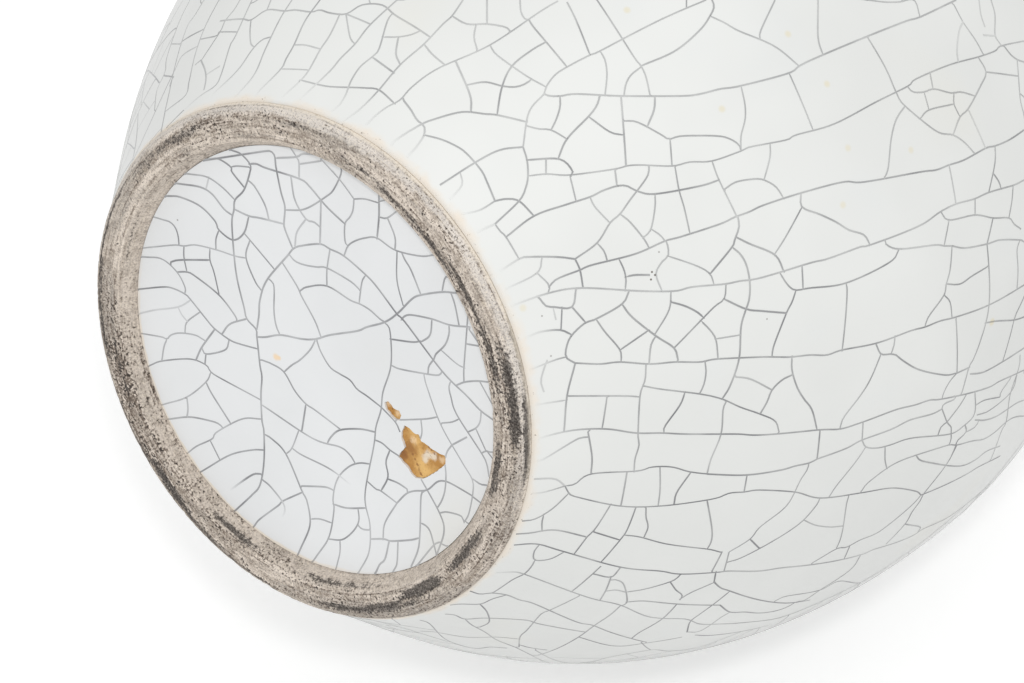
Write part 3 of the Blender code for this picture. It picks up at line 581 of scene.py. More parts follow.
class Socket:
    """One value in a node tree, on which Python's own operators add maths nodes."""

    def __init__(self, tree: bpy.types.NodeTree, source: Any) -> None:
        """Wrap an output socket or a number."""
        self.tree = tree
        self.source = source

    def maths(self, operation: str, *others: Any) -> "Socket":
        """Add one Math node.

        Args:
            operation: The node's operation.
            others: The values of its further inputs.

        Returns:
            The node's result.
        """
        node = self.tree.nodes.new("ShaderNodeMath")
        node.operation = operation
        for index, value in enumerate((self, *others)):
            plug(self.tree, node.inputs[index], value)
        return Socket(self.tree, node.outputs[0])

    def __add__(self, other: Any) -> "Socket":
        """Sum."""
        return self.maths("ADD", other)

    __radd__ = __add__

    def __mul__(self, other: Any) -> "Socket":
        """Product."""
        return self.maths("MULTIPLY", other)

    __rmul__ = __mul__

    def __sub__(self, other: Any) -> "Socket":
        """Difference."""
        return self.maths("SUBTRACT", other)

    def __rsub__(self, other: Any) -> "Socket":
        """Difference from a number on the left."""
        return Socket(self.tree, other).maths("SUBTRACT", self)

    def __truediv__(self, other: Any) -> "Socket":
        """Quotient."""
        return self.maths("DIVIDE", other)

    def __pow__(self, other: Any) -> "Socket":
        """Power."""
        return self.maths("POWER", other)

    def __abs__(self) -> "Socket":
        """Size without its sign."""
        return self.maths("ABSOLUTE")

    def least(self, other: Any) -> "Socket":
        """Lower of two values."""
        return self.maths("MINIMUM", other)

    def most(self, other: Any) -> "Socket":
        """Higher of two values."""
        return self.maths("MAXIMUM", other)

    def rise(self, low: float, high: float) -> "Socket":
        """Soft step.

        Args:
            low: Value at which the step gives 0.
            high: Value at which it gives 1. It may be the lower of the two, and the step then falls.

        Returns:
            The step's result, from 0 to 1.
        """
        node = self.tree.nodes.new("ShaderNodeMapRange")
        node.interpolation_type = "SMOOTHSTEP"
        if low <= high:
            values = (low, high, 0.0, 1.0)
        else:
            values = (high, low, 1.0, 0.0)
        plug(self.tree, node.inputs["Value"], self)
        for name, value in zip(("From Min", "From Max", "To Min", "To Max"), values):
            node.inputs[name].default_value = value
        return Socket(self.tree, node.outputs["Result"])


def plug(tree: bpy.types.NodeTree, target: bpy.types.NodeSocket, value: Any) -> None:
    """Feed an input socket.

    Args:
        tree: The tree that holds the socket.
        target: The input.
        value: A Socket, an output socket, a colour, a vector or a number.
    """
    source = value.source if isinstance(value, Socket) else value
    if isinstance(source, bpy.types.NodeSocket):
        tree.links.new(source, target)
    elif target.type == "RGBA" and len(source) == 3:
        target.default_value = (*source, 1.0)
    else:
        target.default_value = source


class Nodes:
    """A node tree, and the method that adds its nodes."""

    def __init__(self, tree: bpy.types.NodeTree) -> None:
        """Start with an empty tree."""
        self.tree = tree
        self.tree.nodes.clear()

    def node(self, kind: str, settings: dict[str, Any], sockets: dict[Any, Any], output: Any = 0) -> Socket:
        """Add one node.

        Args:
            kind: The node's type.
            settings: Its properties, set first.
            sockets: Values or links of its inputs, by name or number.
            output: Name or number of the output that is wanted.

        Returns:
            That output.
        """
        made = self.tree.nodes.new(kind)
        for key, value in settings.items():
            setattr(made, key, value)
        for key, value in sockets.items():
            plug(self.tree, made.inputs[key], value)
        return Socket(self.tree, made.outputs[output] if len(made.outputs) else None)

    def parts(self, vector: Socket) -> tuple[Socket, Socket, Socket]:
        """X, Y and Z of a vector.

        Args:
            vector: The vector.

        Returns:
            Its three parts.
        """
        made = self.tree.nodes.new("ShaderNodeSeparateXYZ")
        plug(self.tree, made.inputs[0], vector)
        return tuple(Socket(self.tree, made.outputs[index]) for index in range(3))

    def joined(self, x: Any, y: Any, z: Any) -> Socket:
        """Vector of three values."""
        return self.node("ShaderNodeCombineXYZ", {}, {0: x, 1: y, 2: z})


class Finish(Nodes):
    """One material, with the nodes that every finish of the vase uses."""

    def __init__(self, name: str) -> None:
        """Start an empty material.

        Args:
            name: The material's name.
        """
        self.material = bpy.data.materials.new(name)
        self.material.use_nodes = True
        super().__init__(self.material.node_tree)
        self.place = self.node("ShaderNodeTexCoord", {}, {}, "Object")

    def grain(self, vector: Socket, scale: float, detail: float = 2.0, rough: float = 0.5) -> Socket:
        """Noise about one half.

        Args:
            vector: Where it is read.
            scale: Cells for each metre.
            detail: Octaves.
            rough: Weight of the finer octaves.

        Returns:
            The noise's value.
        """
        sockets = {"Vector": vector, "Scale": scale, "Detail": detail, "Roughness": rough}
        return self.node("ShaderNodeTexNoise", {}, sockets)

    def mix(self, share: Any, first: Any, second: Any) -> Socket:
        """Colour between two colours.

        Args:
            share: 0 for the first colour, 1 for the second.
            first: Colour or link.
            second: Colour or link.

        Returns:
            The mixed colour.
        """
        made = self.tree.nodes.new("ShaderNodeMix")
        made.data_type = "RGBA"
        plug(self.tree, made.inputs["Factor"], share)
        colours = [socket for socket in made.inputs if socket.type == "RGBA"]
        plug(self.tree, colours[0], first)
        plug(self.tree, colours[1], second)
        result = [socket for socket in made.outputs if socket.type == "RGBA"]
        return Socket(self.tree, result[0])

    def bump(self, height: Socket, strength: float, depth: float) -> Socket:
        """Normal of a surface raised by a height.

        Args:
            height: The height's value.
            strength: Share of the effect.
            depth: Metres for a height of 1.

        Returns:
            The bent normal.
        """
        return self.node("ShaderNodeBump", {}, {"Height": height, "Strength": strength, "Distance": depth})

    def spotted(self, colour: Socket, spots: Sequence[tuple[Vector, "Spot"]], ragged: float = 0.0) -> Socket:
        """Colour with specks on it.

        Args:
            colour: The colour under them.
            spots: Place and kind of each speck.
            ragged: Metres by which their edges wander.

        Returns:
            The colour with its specks.
        """
        wander = (self.grain(self.place, 900.0, 3.0, 0.6) - 0.5) * ragged
        measure = {"operation": "DISTANCE"}
        for middle, spot in spots:
            away = self.node("ShaderNodeVectorMath", measure, {0: self.place, 1: middle}, "Value")
            near = (away + wander).rise(spot.radius * 1.35, spot.radius * 0.35)
            colour = self.mix(near * spot.strength, colour, spot.colour)
        return colour

    def principled(self, sockets: dict[str, Any]) -> bpy.types.Material:
        """Close the tree with a Principled shader.

        Args:
            sockets: Values or links of its inputs.

        Returns:
            The finished material.
        """
        shader = self.node("ShaderNodeBsdfPrincipled", {}, sockets)
        self.node("ShaderNodeOutputMaterial", {}, {"Surface": shader})
        return self.material


def between(start: Point, end: Point, share: float) -> Point:
    """Point at a share of the way from one point to another."""
    return (start[0] + (end[0] - start[0]) * share, start[1] + (end[1] - start[1]) * share)


def search_tree(points: Sequence[Vector]) -> kdtree.KDTree:
    """Search tree of points, each known by its place in the list.

    Args:
        points: The points.

    Returns:
        The tree, ready to search.
    """
    made = kdtree.KDTree(len(points))
    for index, point in enumerate(points):
        made.insert(point, index)
    made.balance()
    return made


def curve(start: Point, leave: Point, arrive: Point, end: Point, steps: int) -> list[Point]:
    """Points of a cubic curve, both ends included.

    Args:
        start: First point.
        leave: Point that the curve leaves towards.
        arrive: Point that it arrives from.
        end: Last point.
        steps: Number of runs.

    Returns:
        The points.
    """
    points = []
    for step in range(steps + 1):
        t = step / steps
        s = 1.0 - t
        weights = (s ** 3, 3.0 * s * s * t, 3.0 * s * t * t, t ** 3)
        corners = (start, leave, arrive, end)
        points.append(tuple(sum(w * c[axis] for w, c in zip(weights, corners)) for axis in (0, 1)))
    return points


@dataclass(frozen=True)
class VaseForm:
    """Driving sizes of the solids, and the smooth profiles that follow from them."""

    glaze: float = 0.9 * MM
    bowl_wall: float = 5.5 * MM
    neck_wall: float = 4.0 * MM
    lip_wall: float = 3.0 * MM
    line_radius: float = 55.0 * MM
    line_height: float = 2.6 * MM
    foot_slant: float = math.radians(32.8)
    foot_reach: float = 31.8 * MM
    belly_radius: float = 105.8 * MM
    belly_height: float = 130.5 * MM
    belly_reach: float = 73.2 * MM
    shoulder_rise: float = 95.0 * MM
    shoulder_end: float = 48.0 * MM
    root_radius: float = 26.2 * MM
    root_rise: float = 24.0 * MM
    root_reach: float = 12.0 * MM
    neck_length: float = 86.0 * MM
    neck_taper: float = 1.4 * MM
    lip_flare: float = 5.2 * MM
    lip_rise: float = 22.0 * MM
    coat_drop: float = 13.0 * MM
    recess_depth: float = 4.0 * MM
    recess_dome: float = 1.6 * MM
    bare_run: float = 1.0 * MM
    outer_bevel_run: float = 1.4 * MM
    outer_bevel_height: float = 0.8 * MM
    flat_width: float = 4.0 * MM
    inner_bevel_run: float = 1.2 * MM
    inner_bevel_height: float = 0.5 * MM
    bore_slope_run: float = 1.7 * MM
    ledge_width: float = 4.2 * MM
    ring_top: float = 7.2 * MM
    # Steps of each stretch of the outer face
    belly_steps: int = 72
    shoulder_steps: int = 44
    root_steps: int = 20
    neck_steps: int = 24
    lip_steps: int = 16

    @property
    def shoulder_turn(self) -> float:
        """Angle at which the shoulder's ellipse ends."""
        return math.acos(self.shoulder_end / self.belly_radius)

    @property
    def root_height(self) -> float:
        """Height of the neck's root."""
        return self.belly_height + self.shoulder_rise * math.sin(self.shoulder_turn) + self.root_rise

    @property
    def lip_height(self) -> float:
        """Height at which the lip starts."""
        return self.root_height + self.neck_length

    @property
    def flat_outer(self) -> float:
        """Outer radius of the flat that the vase stands on."""
        return self.line_radius - self.bare_run - self.outer_bevel_run

    @property
    def flat_inner(self) -> float:
        """Inner radius of the flat that the vase stands on."""
        return self.flat_outer - self.flat_width

    @property
    def bore(self) -> float:
        """Radius of the ring's bore at the recess."""
        return self.flat_inner - self.inner_bevel_run - self.bore_slope_run

    def outer_face(self) -> list[Point]:
        """Outer face from the glaze line to where the rim turns over.

        Returns:
            Its points, from below.
        """
        line = (self.line_radius, self.line_height)
        reach = self.foot_reach
        leave = (line[0] + reach * math.sin(self.foot_slant), line[1] + reach * math.cos(self.foot_slant))
        arrive = (self.belly_radius, self.belly_height - self.belly_reach)
        points = curve(line, leave, arrive, (self.belly_radius, self.belly_height), self.belly_steps)
        turn = self.shoulder_turn
        for step in range(1, self.shoulder_steps + 1):
            angle = turn * step / self.shoulder_steps
            rise = self.shoulder_rise * math.sin(angle)
            points.append((self.belly_radius * math.cos(angle), self.belly_height + rise))
        run = (-self.belly_radius * math.sin(turn), self.shoulder_rise * math.cos(turn))
        share = self.root_reach / math.hypot(*run)
        start = points[-1]
        leave = (start[0] + run[0] * share, start[1] + run[1] * share)
        end = (self.root_radius, self.root_height)
        points += curve(start, leave, (end[0], end[1] - self.root_reach), end, self.root_steps)[1:]
        for step in range(1, self.neck_steps + 1):
            share = step / self.neck_steps
            slimmed = self.neck_taper * (1.0 - math.cos(math.pi * share)) / 2.0
            points.append((self.root_radius - slimmed, self.root_height + self.neck_length * share))
        for step in range(1, self.lip_steps + 1):
            share = step / self.lip_steps
            radius = self.root_radius - self.neck_taper + self.lip_flare * share * share
            points.append((radius, self.lip_height + self.lip_rise * share))
        return points

    def wall(self, height: float) -> float:
        """Clay wall at a height.

        Args:
            height: Height above the standing face.

        Returns:
            The wall's thickness there.
        """
        marks = (self.belly_height, self.root_height, self.lip_height, self.lip_height + self.lip_rise)
        walls = (self.bowl_wall, self.neck_wall, self.neck_wall, self.lip_wall)
        return float(np.interp(height, marks, walls))

    def inset(self, depth: Callable[[float], float]) -> list[Point]:
        """Outer face moved into the wall.

        Args:
            depth: Distance at each height.

        Returns:
            The moved points, from the foot up.
        """
        line = np.array(self.outer_face())
        runs = np.gradient(line, axis=0)
        runs /= np.hypot(runs[:, 0], runs[:, 1])[:, None]
        depths = np.array([depth(height) for height in line[:, 1]])[:, None]
        moved = line + np.stack([-runs[:, 1], runs[:, 0]], axis=1) * depths
        return [tuple(point) for point in moved]

    def inner_face(self) -> list[Point]:
        """Open face of a coat inside the clay, from the foot up."""
        return self.inset(lambda height: 2.0 * (self.glaze + SEAT_GAP) + self.wall(height))

    def base_height(self, radius: float) -> float:
        """Height of the recess's glazed face."""
        share = radius / (self.bore - SKIN_INSET)
        return self.recess_depth + self.recess_dome * (1.0 - share * share)


FORM = VaseForm()


class TurnedFace:
    """Face of revolution that cracks run on, known by its profile."""

    # Distance between stored points, their least number, and rounds that find the nearest point
    stride = 0.4 * MM
    least_count = 8
    snap_rounds = 3

    def __init__(self, profile: Sequence[Point], side: float) -> None:
        """Store the profile at even steps.

        Args:
            profile: Points of the face's profile.
            side: 1 if the face looks to the left of its profile's run, -1 if to the right.
        """
        line = np.array(profile)
        runs = np.hypot(*np.diff(line, axis=0).T)
        reach = np.concatenate(([0.0], np.cumsum(runs)))
        self.length = float(reach[-1])
        self.count = max(int(self.length / self.stride), self.least_count)
        even = np.linspace(0.0, self.length, self.count + 1)
        self.radii = np.interp(even, reach, line[:, 0]).tolist()
        self.heights = np.interp(even, reach, line[:, 1]).tolist()
        self.line = np.stack([self.radii, self.heights], axis=1)
        self.side = side

    def at(self, way: float) -> tuple[float, float, float, float]:
        """Radius, height and direction of the profile at a distance along it.

        Args:
            way: Distance along the profile.

        Returns:
            The radius, the height, and how much the profile runs outwards and upwards there.
        """
        index = min(max(way / self.length, 0.0), 1.0) * self.count
        low = min(int(index), self.count - 1)
        share = index - low
        radius = self.radii[low] * (1.0 - share) + self.radii[low + 1] * share
        height = self.heights[low] * (1.0 - share) + self.heights[low + 1] * share
        before, after = max(low - 1, 0), min(low + 2, self.count)
        across = self.radii[after] - self.radii[before]
        up = self.heights[after] - self.heights[before]
        length = math.hypot(across, up)
        return radius, height, across / length, up / length

    def point(self, turn: float, way: float) -> Vector:
        """Point of the face at an angle round the axis."""
        radius, height, _, _ = self.at(way)
        return Vector((radius * math.cos(turn), radius * math.sin(turn), height))

    def snap(self, point: Vector, way: float) -> tuple[Vector, Vector, float]:
        """Nearest point of the face.

        Args:
            point: A point near the face.
            way: A guess at its distance along the profile.

        Returns:
            The point on the face, the face's direction there and the distance along the profile.
        """
        flat = math.hypot(point.x, point.y)
        outward = (point.x / flat, point.y / flat) if flat > 1e-7 else (1.0, 0.0)
        for _ in range(self.snap_rounds):
            radius, height, across, up = self.at(way)
            way += (flat - radius) * across + (point.z - height) * up
            way = min(max(way, 0.0), self.length)
        radius, height, across, up = self.at(way)
        place = Vector((radius * outward[0], radius * outward[1], height))
        lean = (-up * self.side, across * self.side)
        return place, Vector((lean[0] * outward[0], lean[0] * outward[1], lean[1])), way

    def find(self, point: Vector) -> float:
        """Distance along the profile of the face's point nearest to any point.

        Args:
            point: Any point.

        Returns:
            The distance along the profile.
        """
        flat = math.hypot(point.x, point.y)
        gaps = (self.line[:, 0] - flat) ** 2 + (self.line[:, 1] - point.z) ** 2
        return self.length * int(gaps.argmin()) / self.count


@dataclass
class Crack:
    """One run of the crackle on a face: its points, the face's direction at each, and each one's strength."""

    points: list[Vector]
    ways: list[Vector]
    half_width: float
    stains: list[float]

    def take(self, point: Vector, way: Vector, stain: float) -> None:
        """Add one point to the end.

        Args:
            point: The point.
            way: The face's direction there.
            stain: The run's strength there.
        """
        self.points.append(point)
        self.ways.append(way)
        self.stains.append(stain)

    def parted(self, hidden: Callable[[Vector], bool]) -> list["Crack"]:
        """Stretches of the crack outside what hides it.

        Args:
            hidden: Whether a point is hidden.

        Returns:
            One crack for each stretch, cut where it goes into hiding.
        """
        found = [Crack([], [], self.half_width, [])]
        steps = list(zip(self.points, self.ways, self.stains))
        for (point, way, stain), (after, _, _) in zip(steps, [*steps[1:], steps[-1]]):
            here, there = hidden(point), hidden(after)
            if not here:
                found[-1].take(point, way, stain)
            if here != there:
                found[-1].take(edge_between(point, after, hidden), way, stain)
            if not here and there and len(found[-1].points) > 1:
                found.append(Crack([], [], self.half_width, []))
        return [crack for crack in found if len(crack.points) > 1]


def edge_between(first: Vector, second: Vector, hidden: Callable[[Vector], bool]) -> Vector:
    """Last clear point on the way between a clear point and a hidden one.

    Args:
        first: One of the two points.
        second: The other.
        hidden: Tells whether a point is hidden.

    Returns:
        The last point that is clear.
    """
    clear, covered = (second, first) if hidden(first) else (first, second)
    for _ in range(HALVINGS):
        middle = clear.lerp(covered, 0.5)
        if hidden(middle):
            covered = middle
        else:
            clear = middle
    return clear


class Crackle:
    """Net of cracks on one face: runs that are given, and runs that split the cells still too wide."""

    # How much half widths and strengths differ from run to run
    width_spread = (0.85, 1.15)
    stain_spread = (0.84, 1.12)
    # Greatest gap that is closed between the ends of runs that were read
    knit_reach = 0.9 * MM
    # Strides within which a growing run meets another, and first steps in which its own start doesn't count
    meeting = 0.95
    free_steps = 4
    # Bend of a growing run at its start and what each step adds, in radians for each metre, and share kept
    first_bend = 14.0
    next_bend = 7.0
    kept_bend = 0.94
    # Longest half of a new run, in clearances, and how far it turns from the shortest way, in radians
    longest = 16.0
    turn_spread = 0.30
    # How fast the cells' size changes from place to place, for each metre, and by how much
    patchiness = 24.0
    patch_middle, patch_spread = 0.85, 0.6
    # New points that are searched one by one before the search tree is made again
    fresh_limit = 600

    def __init__(self, face: TurnedFace, seed: int, stride: float = 0.9 * MM) -> None:
        """Start an empty net.

        Args:
            face: The face it lies on.
            seed: Seed of its random draws.
            stride: Distance between a run's points.
        """
        self.face = face
        self.draw = random.Random(seed)
        self.stride = stride
        self.cracks: list[Crack] = []
        self.cells: dict[tuple[int, int, int], list[tuple[Vector, int]]] = {}

    def cell(self, point: Vector) -> tuple[int, int, int]:
        """Cell of the search grid that holds a point."""
        size = 2.0 * self.stride
        return (int(point.x // size), int(point.y // size), int(point.z // size))

    def carry(self, points: list[Vector], reach: float) -> None:
        """Carry a run's ends straight on to the face's far edge.

        Args:
            points: The run's points, changed in place.
            reach: Distance from the edge within which an end is carried on.
        """
        for last in (False, True):
            tip, before = (points[-1], points[-3]) if last else (points[0], points[2])
            way = self.face.find(tip)
            if self.face.length - way < reach:
                heading = (tip - before).normalized()
                while way < self.face.length:
                    tip, _, further = self.face.snap(tip + heading * self.stride, way)
                    if further <= way:
                        break
                    way = further
                    points.insert(len(points) if last else 0, tip)

    def read(self, runs: Sequence[Run], width: float, stain: float, edge: float = 0.0,
             slant: tuple[float, float] = (1.0, 1.0)) -> None:
        """Take in the runs that were read in the photograph.

        Args:
            runs: The runs, in pixels.
            width: Their half width.
            stain: Their strength.
            edge: Distance from the face's far edge within which their ends are carried on to it.
            slant: Shares of the strength at the photograph's top and bottom.
        """
        pairs = [(seen(run, self.face, self.stride), run.fade) for run in runs]
        pairs = [(points, fade) for points, fade in pairs if points]
        knit([points for points, _ in pairs], self.knit_reach)
        if edge > 0.0:
            for points, _ in pairs:
                self.carry(points, edge)
        for points, fade in pairs:
            _, row = LENS.pixel(points[len(points) // 2])
            strength = stain * (FAINT_SHARE if fade is Fade.FAINT else 1.0)
            strength *= float(np.interp(row, (0.0, LENS.height), slant))
            self.add(points, width, strength, (fade is Fade.START, fade is Fade.END))

    def add(self, points: list[Vector], width: float, stain: float,
            fade: tuple[bool, bool] = (False, False)) -> None:
        """Take a run into the net.

        Args:
            points: Its points on the face.
            width: Its half width.
            stain: Its strength, from 0 to 1.
            fade: Whether its first and its last end fade out.
        """
        width *= self.draw.uniform(*self.width_spread)
        stain *= self.draw.uniform(*self.stain_spread)
        made = Crack([], [], width, [])
        way = self.face.find(points[0])
        number = len(self.cracks)
        for index, point in enumerate(points):
            _, normal, way = self.face.snap(point, way)
            share = 1.0
            if fade[0]:
                share = min(share, index / FADE_STEPS)
            if fade[1]:
                share = min(share, (len(points) - 1 - index) / FADE_STEPS)
            made.take(point, normal, stain * share)
            self.cells.setdefault(self.cell(point), []).append((point, number))
        self.cracks.append(made)

    def met(self, point: Vector, skip: int) -> Vector | None:
        """Point of another run that lies within a stride of a point.

        Args:
            point: Where to look.
            skip: Number of a run that doesn't count.

        Returns:
            The nearest such point, or None.
        """
        home = self.cell(point)
        best, best_gap = None, self.stride * self.meeting
        for x, y, z in product((-1, 0, 1), repeat=3):
            for other, number in self.cells.get((home[0] + x, home[1] + y, home[2] + z), ()):
                gap = (other - point).length
                if number != skip and gap < best_gap:
                    best, best_gap = other, gap
        return best

    def grow(self, start: Vector, heading: Vector, limit: float, skip: int = -1) -> list[Vector] | None:
        """Run from a point until it meets another run or the face's end.

        Args:
            start: First point.
            heading: Direction that it leaves in.
            limit: Greatest length.
            skip: Number of the run it leaves from.

        Returns:
            Its points, or None if it met nothing.
        """
        way = self.face.find(start)
        place, normal, way = self.face.snap(start, way)
        heading = (heading - normal * heading.dot(normal)).normalized()
        bend = self.draw.gauss(0.0, self.first_bend)
        points = [place]
        for step in range(int(limit / self.stride)):
            bend = (bend + self.draw.gauss(0.0, self.next_bend)) * self.kept_bend
            heading = Matrix.Rotation(bend * self.stride, 3, normal) @ heading
            place, normal, way = self.face.snap(place + heading * self.stride, way)
            heading = (heading - normal * heading.dot(normal)).normalized()
            if way <= 0.0 or way >= self.face.length:
                points.append(place)
                return points
            hit = self.met(place, skip if step < self.free_steps else -1)
            if hit is not None and step > 1:
                points.append(hit)
                return points
            points.append(place)
        return None

    def random_point(self) -> Vector:
        """Point drawn evenly over the face's area.

        Returns:
            The point.
        """
        widest = max(self.face.radii)
        while True:
            way = self.draw.uniform(0.0, self.face.length)
            if self.draw.uniform(0.0, widest) <= self.face.at(way)[0]:
                return self.face.point(self.draw.uniform(0.0, math.tau), way)

    def tree(self) -> kdtree.KDTree:
        """Search tree of every point in the net."""
        return search_tree([point for crack in self.cracks for point in crack.points])

    def lengthen(self, width: float, stain: float, reach: float, stops: Callable[[Vector], bool]) -> None:
        """Carry runs on past the edge of what was read.

        Args:
            width: Half width of what is added.
            stain: Its strength.
            reach: Greatest length of it.
            stops: Tells whether a run's end lies at the edge.
        """
        for number, crack in enumerate(list(self.cracks)):
            for end, before in ((crack.points[0], crack.points[2]), (crack.points[-1], crack.points[-3])):
                if stops(end):
                    points = self.grow(end, end - before, reach, number)
                    if points is not None:
                        self.add(points, width, stain)

    def split(self, clearance: Callable[[Vector], float], tries: int, width: float, stain: float,
              keep_out: Callable[[Vector], bool]) -> None:
        """Split cells that are wider than a clearance.

        Args:
            clearance: Least distance from a new run's seed to every other run, by place.
            tries: Number of seeds drawn.
            width: Half width of the new runs.
            stain: Their strength.
            keep_out: Tells where no new run may go.
        """
        known, fresh = self.tree(), []
        for _ in range(tries):
            seed = self.random_point()
            patch = noise.noise(seed * self.patchiness)
            local = clearance(seed) * (self.patch_middle + self.patch_spread * patch)
            nearest, _, gap = known.find(seed)
            if gap < local or keep_out(seed) or any((other - seed).length < local for other in fresh):
                continue
            _, normal, _ = self.face.snap(seed, self.face.find(seed))
            heading = Matrix.Rotation(self.draw.gauss(0.0, self.turn_spread), 3, normal) @ (nearest - seed)
            first = self.grow(seed, heading, self.longest * local)
            second = self.grow(seed, -heading, self.longest * local)
            if first is None or second is None:
                continue
            points = list(reversed(first)) + second[1:]
            if any(keep_out(point) for point in points[2:-2]):
                continue
            self.add(points, width, stain)
            fresh += points
            if len(fresh) > self.fresh_limit:
                known, fresh = self.tree(), []


def seen(run: Run, face: TurnedFace, stride: float) -> list[Vector]:
    """Points on a face of a run that was read in the photograph.

    Args:
        run: The run, in pixels.
        face: The face that it lies on.
        stride: Distance between the points.

    Returns:
        The points, evenly spaced on a smooth curve.
    """
    marks = [LENS.land(face, mark) for mark in run.marks]
    marks = [mark for mark in marks if mark is not None]
    if len(marks) < 2:
        return []
    padded = [marks[0] * 2.0 - marks[1], *marks, marks[-1] * 2.0 - marks[-2]]
    fine = []
    for before, start, end, after in zip(padded, padded[1:], padded[2:], padded[3:]):
        leave = (end - before) * 0.5
        arrive = (after - start) * 0.5
        for step in range(CURVE_STEPS):
            t = step / CURVE_STEPS
            fine.append(
                start * (2.0 * t ** 3 - 3.0 * t ** 2 + 1.0) + leave * (t ** 3 - 2.0 * t ** 2 + t)
                + end * (3.0 * t ** 2 - 2.0 * t ** 3) + arrive * (t ** 3 - t ** 2)
            )
    fine.append(marks[-1])
    reach = [0.0]
    for first, second in zip(fine, fine[1:]):
        reach.append(reach[-1] + (second - first).length)
    count = max(round(reach[-1] / stride), 2)
    points = []
    for step in range(count + 1):
        wanted = reach[-1] * step / count
        index = min(int(np.searchsorted(reach, wanted, side="right")) - 1, len(fine) - 2)
        span = max(reach[index + 1] - reach[index], 1e-9)
        place = fine[index].lerp(fine[index + 1], min((wanted - reach[index]) / span, 1.0))
        points.append(face.snap(place, face.find(place))[0])
    return points


def knit(runs: list[list[Vector]], reach: float) -> None:
    """Carry the ends of runs on to the runs beside them.

    Args:
        runs: Points of each run, changed in place.
        reach: Greatest gap that is closed.
    """
    owners = [number for number, run in enumerate(runs) for _ in run]
    known = search_tree([point for run in runs for point in run])
    for number, run in enumerate(runs):
        for last in (False, True):
            tip = run[-1] if last else run[0]
            for place, index, gap in known.find_range(tip, reach):
                if owners[index] != number:
                    if gap > SKIN_INSET:
                        run.insert(len(run) if last else 0, place.copy())
                    break


def crackle_tree(material: bpy.types.Material) -> bpy.types.NodeTree:
    """Geometry Nodes that turn edge runs into flat strips lying on a face.

    Args:
        material: Material of the strips.

    Returns:
        The tree. Its input Thickness is in half widths.
    """
    tree = bpy.data.node_groups.new("crackle_strips", "GeometryNodeTree")
    for name, side, kind in (
        ("Geometry", "INPUT", "NodeSocketGeometry"),
        ("Thickness", "INPUT", "NodeSocketFloat"),
        ("Geometry", "OUTPUT", "NodeSocketGeometry"),
    ):
        tree.interface.new_socket(name, in_out=side, socket_type=kind)
    nodes = Nodes(tree)
    given = nodes.node("NodeGroupInput", {}, {}, "Geometry")
    thickness = nodes.node("NodeGroupInput", {}, {}, "Thickness")
    read = "GeometryNodeInputNamedAttribute"
    way = nodes.node(read, {"data_type": "FLOAT_VECTOR"}, {"Name": "face_way"}, "Attribute")
    half = nodes.node(read, {"data_type": "FLOAT"}, {"Name": "half_width"}, "Attribute")
    runs = nodes.node("GeometryNodeMeshToCurve", {}, {"Mesh": given})
    facing = nodes.node("GeometryNodeSetCurveNormal", {"mode": "FREE"}, {"Curve": runs, "Normal": way})
    section = nodes.node("GeometryNodeCurvePrimitiveQuadrilateral", {}, {"Width": thickness, "Height": 2.0})
    _, side, _ = nodes.parts(nodes.node("GeometryNodeInputPosition", {}, {}))
    marked = {"Geometry": section, "Name": "across", "Value": side}
    across = nodes.node("GeometryNodeStoreNamedAttribute", {"data_type": "FLOAT"}, marked)
    swept = {"Curve": facing, "Profile Curve": across, "Scale": half, "Fill Caps": True}
    strip = nodes.node("GeometryNodeCurveToMesh", {}, swept)
    flat = nodes.node("GeometryNodeSetShadeSmooth", {}, {"Geometry": strip, "Shade Smooth": False})
    real = nodes.node("GeometryNodeRealizeInstances", {}, {"Geometry": flat})
    dressed = nodes.node("GeometryNodeSetMaterial", {}, {"Geometry": real, "Material": material})
    nodes.node("NodeGroupOutput", {}, {"Geometry": dressed})
    return tree


def in_scene(name: str, data: bpy.types.ID) -> bpy.types.Object:
    """Object of a mesh, a camera or a light, added to the scene.

    Args:
        name: The object's name.
        data: The mesh, the camera or the light.

    Returns:
        The object.
    """
    made = bpy.data.objects.new(name, data)
    bpy.context.scene.collection.objects.link(made)
    return made


def strips(name: str, cracks: list[Crack], material: bpy.types.Material, slot: Slot) -> bpy.types.Object:
    """Piece that holds cracks as strips.

    Args:
        name: The piece's name.
        cracks: The cracks. Earlier ones lie over later ones where they meet.
        material: Its material.
        slot: Its slot in the record.

    Returns:
        The piece.
    """
    places, edges, ways, halves, stains = [], [], [], [], []
    for number, crack in enumerate(cracks):
        lift = STRIP_LIFT + STRIP_SPREAD * (1.0 - number / len(cracks))
        for index, (point, way) in enumerate(zip(crack.points, crack.ways)):
            if index:
                edges.append((len(places) - 1, len(places)))
            places.append(point + way * (lift - STRIP_THICKNESS * crack.half_width / 2.0))
            ways.append(way)
            halves.append(crack.half_width)
            stains.append(crack.stains[index])
    mesh = bpy.data.meshes.new(name)
    mesh.from_pydata(places, edges, [])
    for key, kind, values, part in (
        ("face_way", "FLOAT_VECTOR", ways, "vector"),
        ("half_width", "FLOAT", halves, "value"),
        ("stain", "FLOAT", stains, "value"),
    ):
        data = mesh.attributes.new(key, kind, "POINT").data
        data.foreach_set(part, np.array(values, dtype=np.float32).ravel())
    runs = in_scene(name + "_runs", mesh)
    tree = crackle_tree(material)
    modifier = runs.modifiers.new("strips", "NODES")
    modifier.node_group = tree
    keys = {item.name: item.identifier for item in tree.interface.items_tree if item.in_out == "INPUT"}
    modifier[keys["Thickness"]] = STRIP_THICKNESS
    evaluated = runs.evaluated_get(bpy.context.evaluated_depsgraph_get())
    made = bpy.data.meshes.new_from_object(evaluated)
    bpy.data.objects.remove(runs)
    return piece(name, made, material, slot)


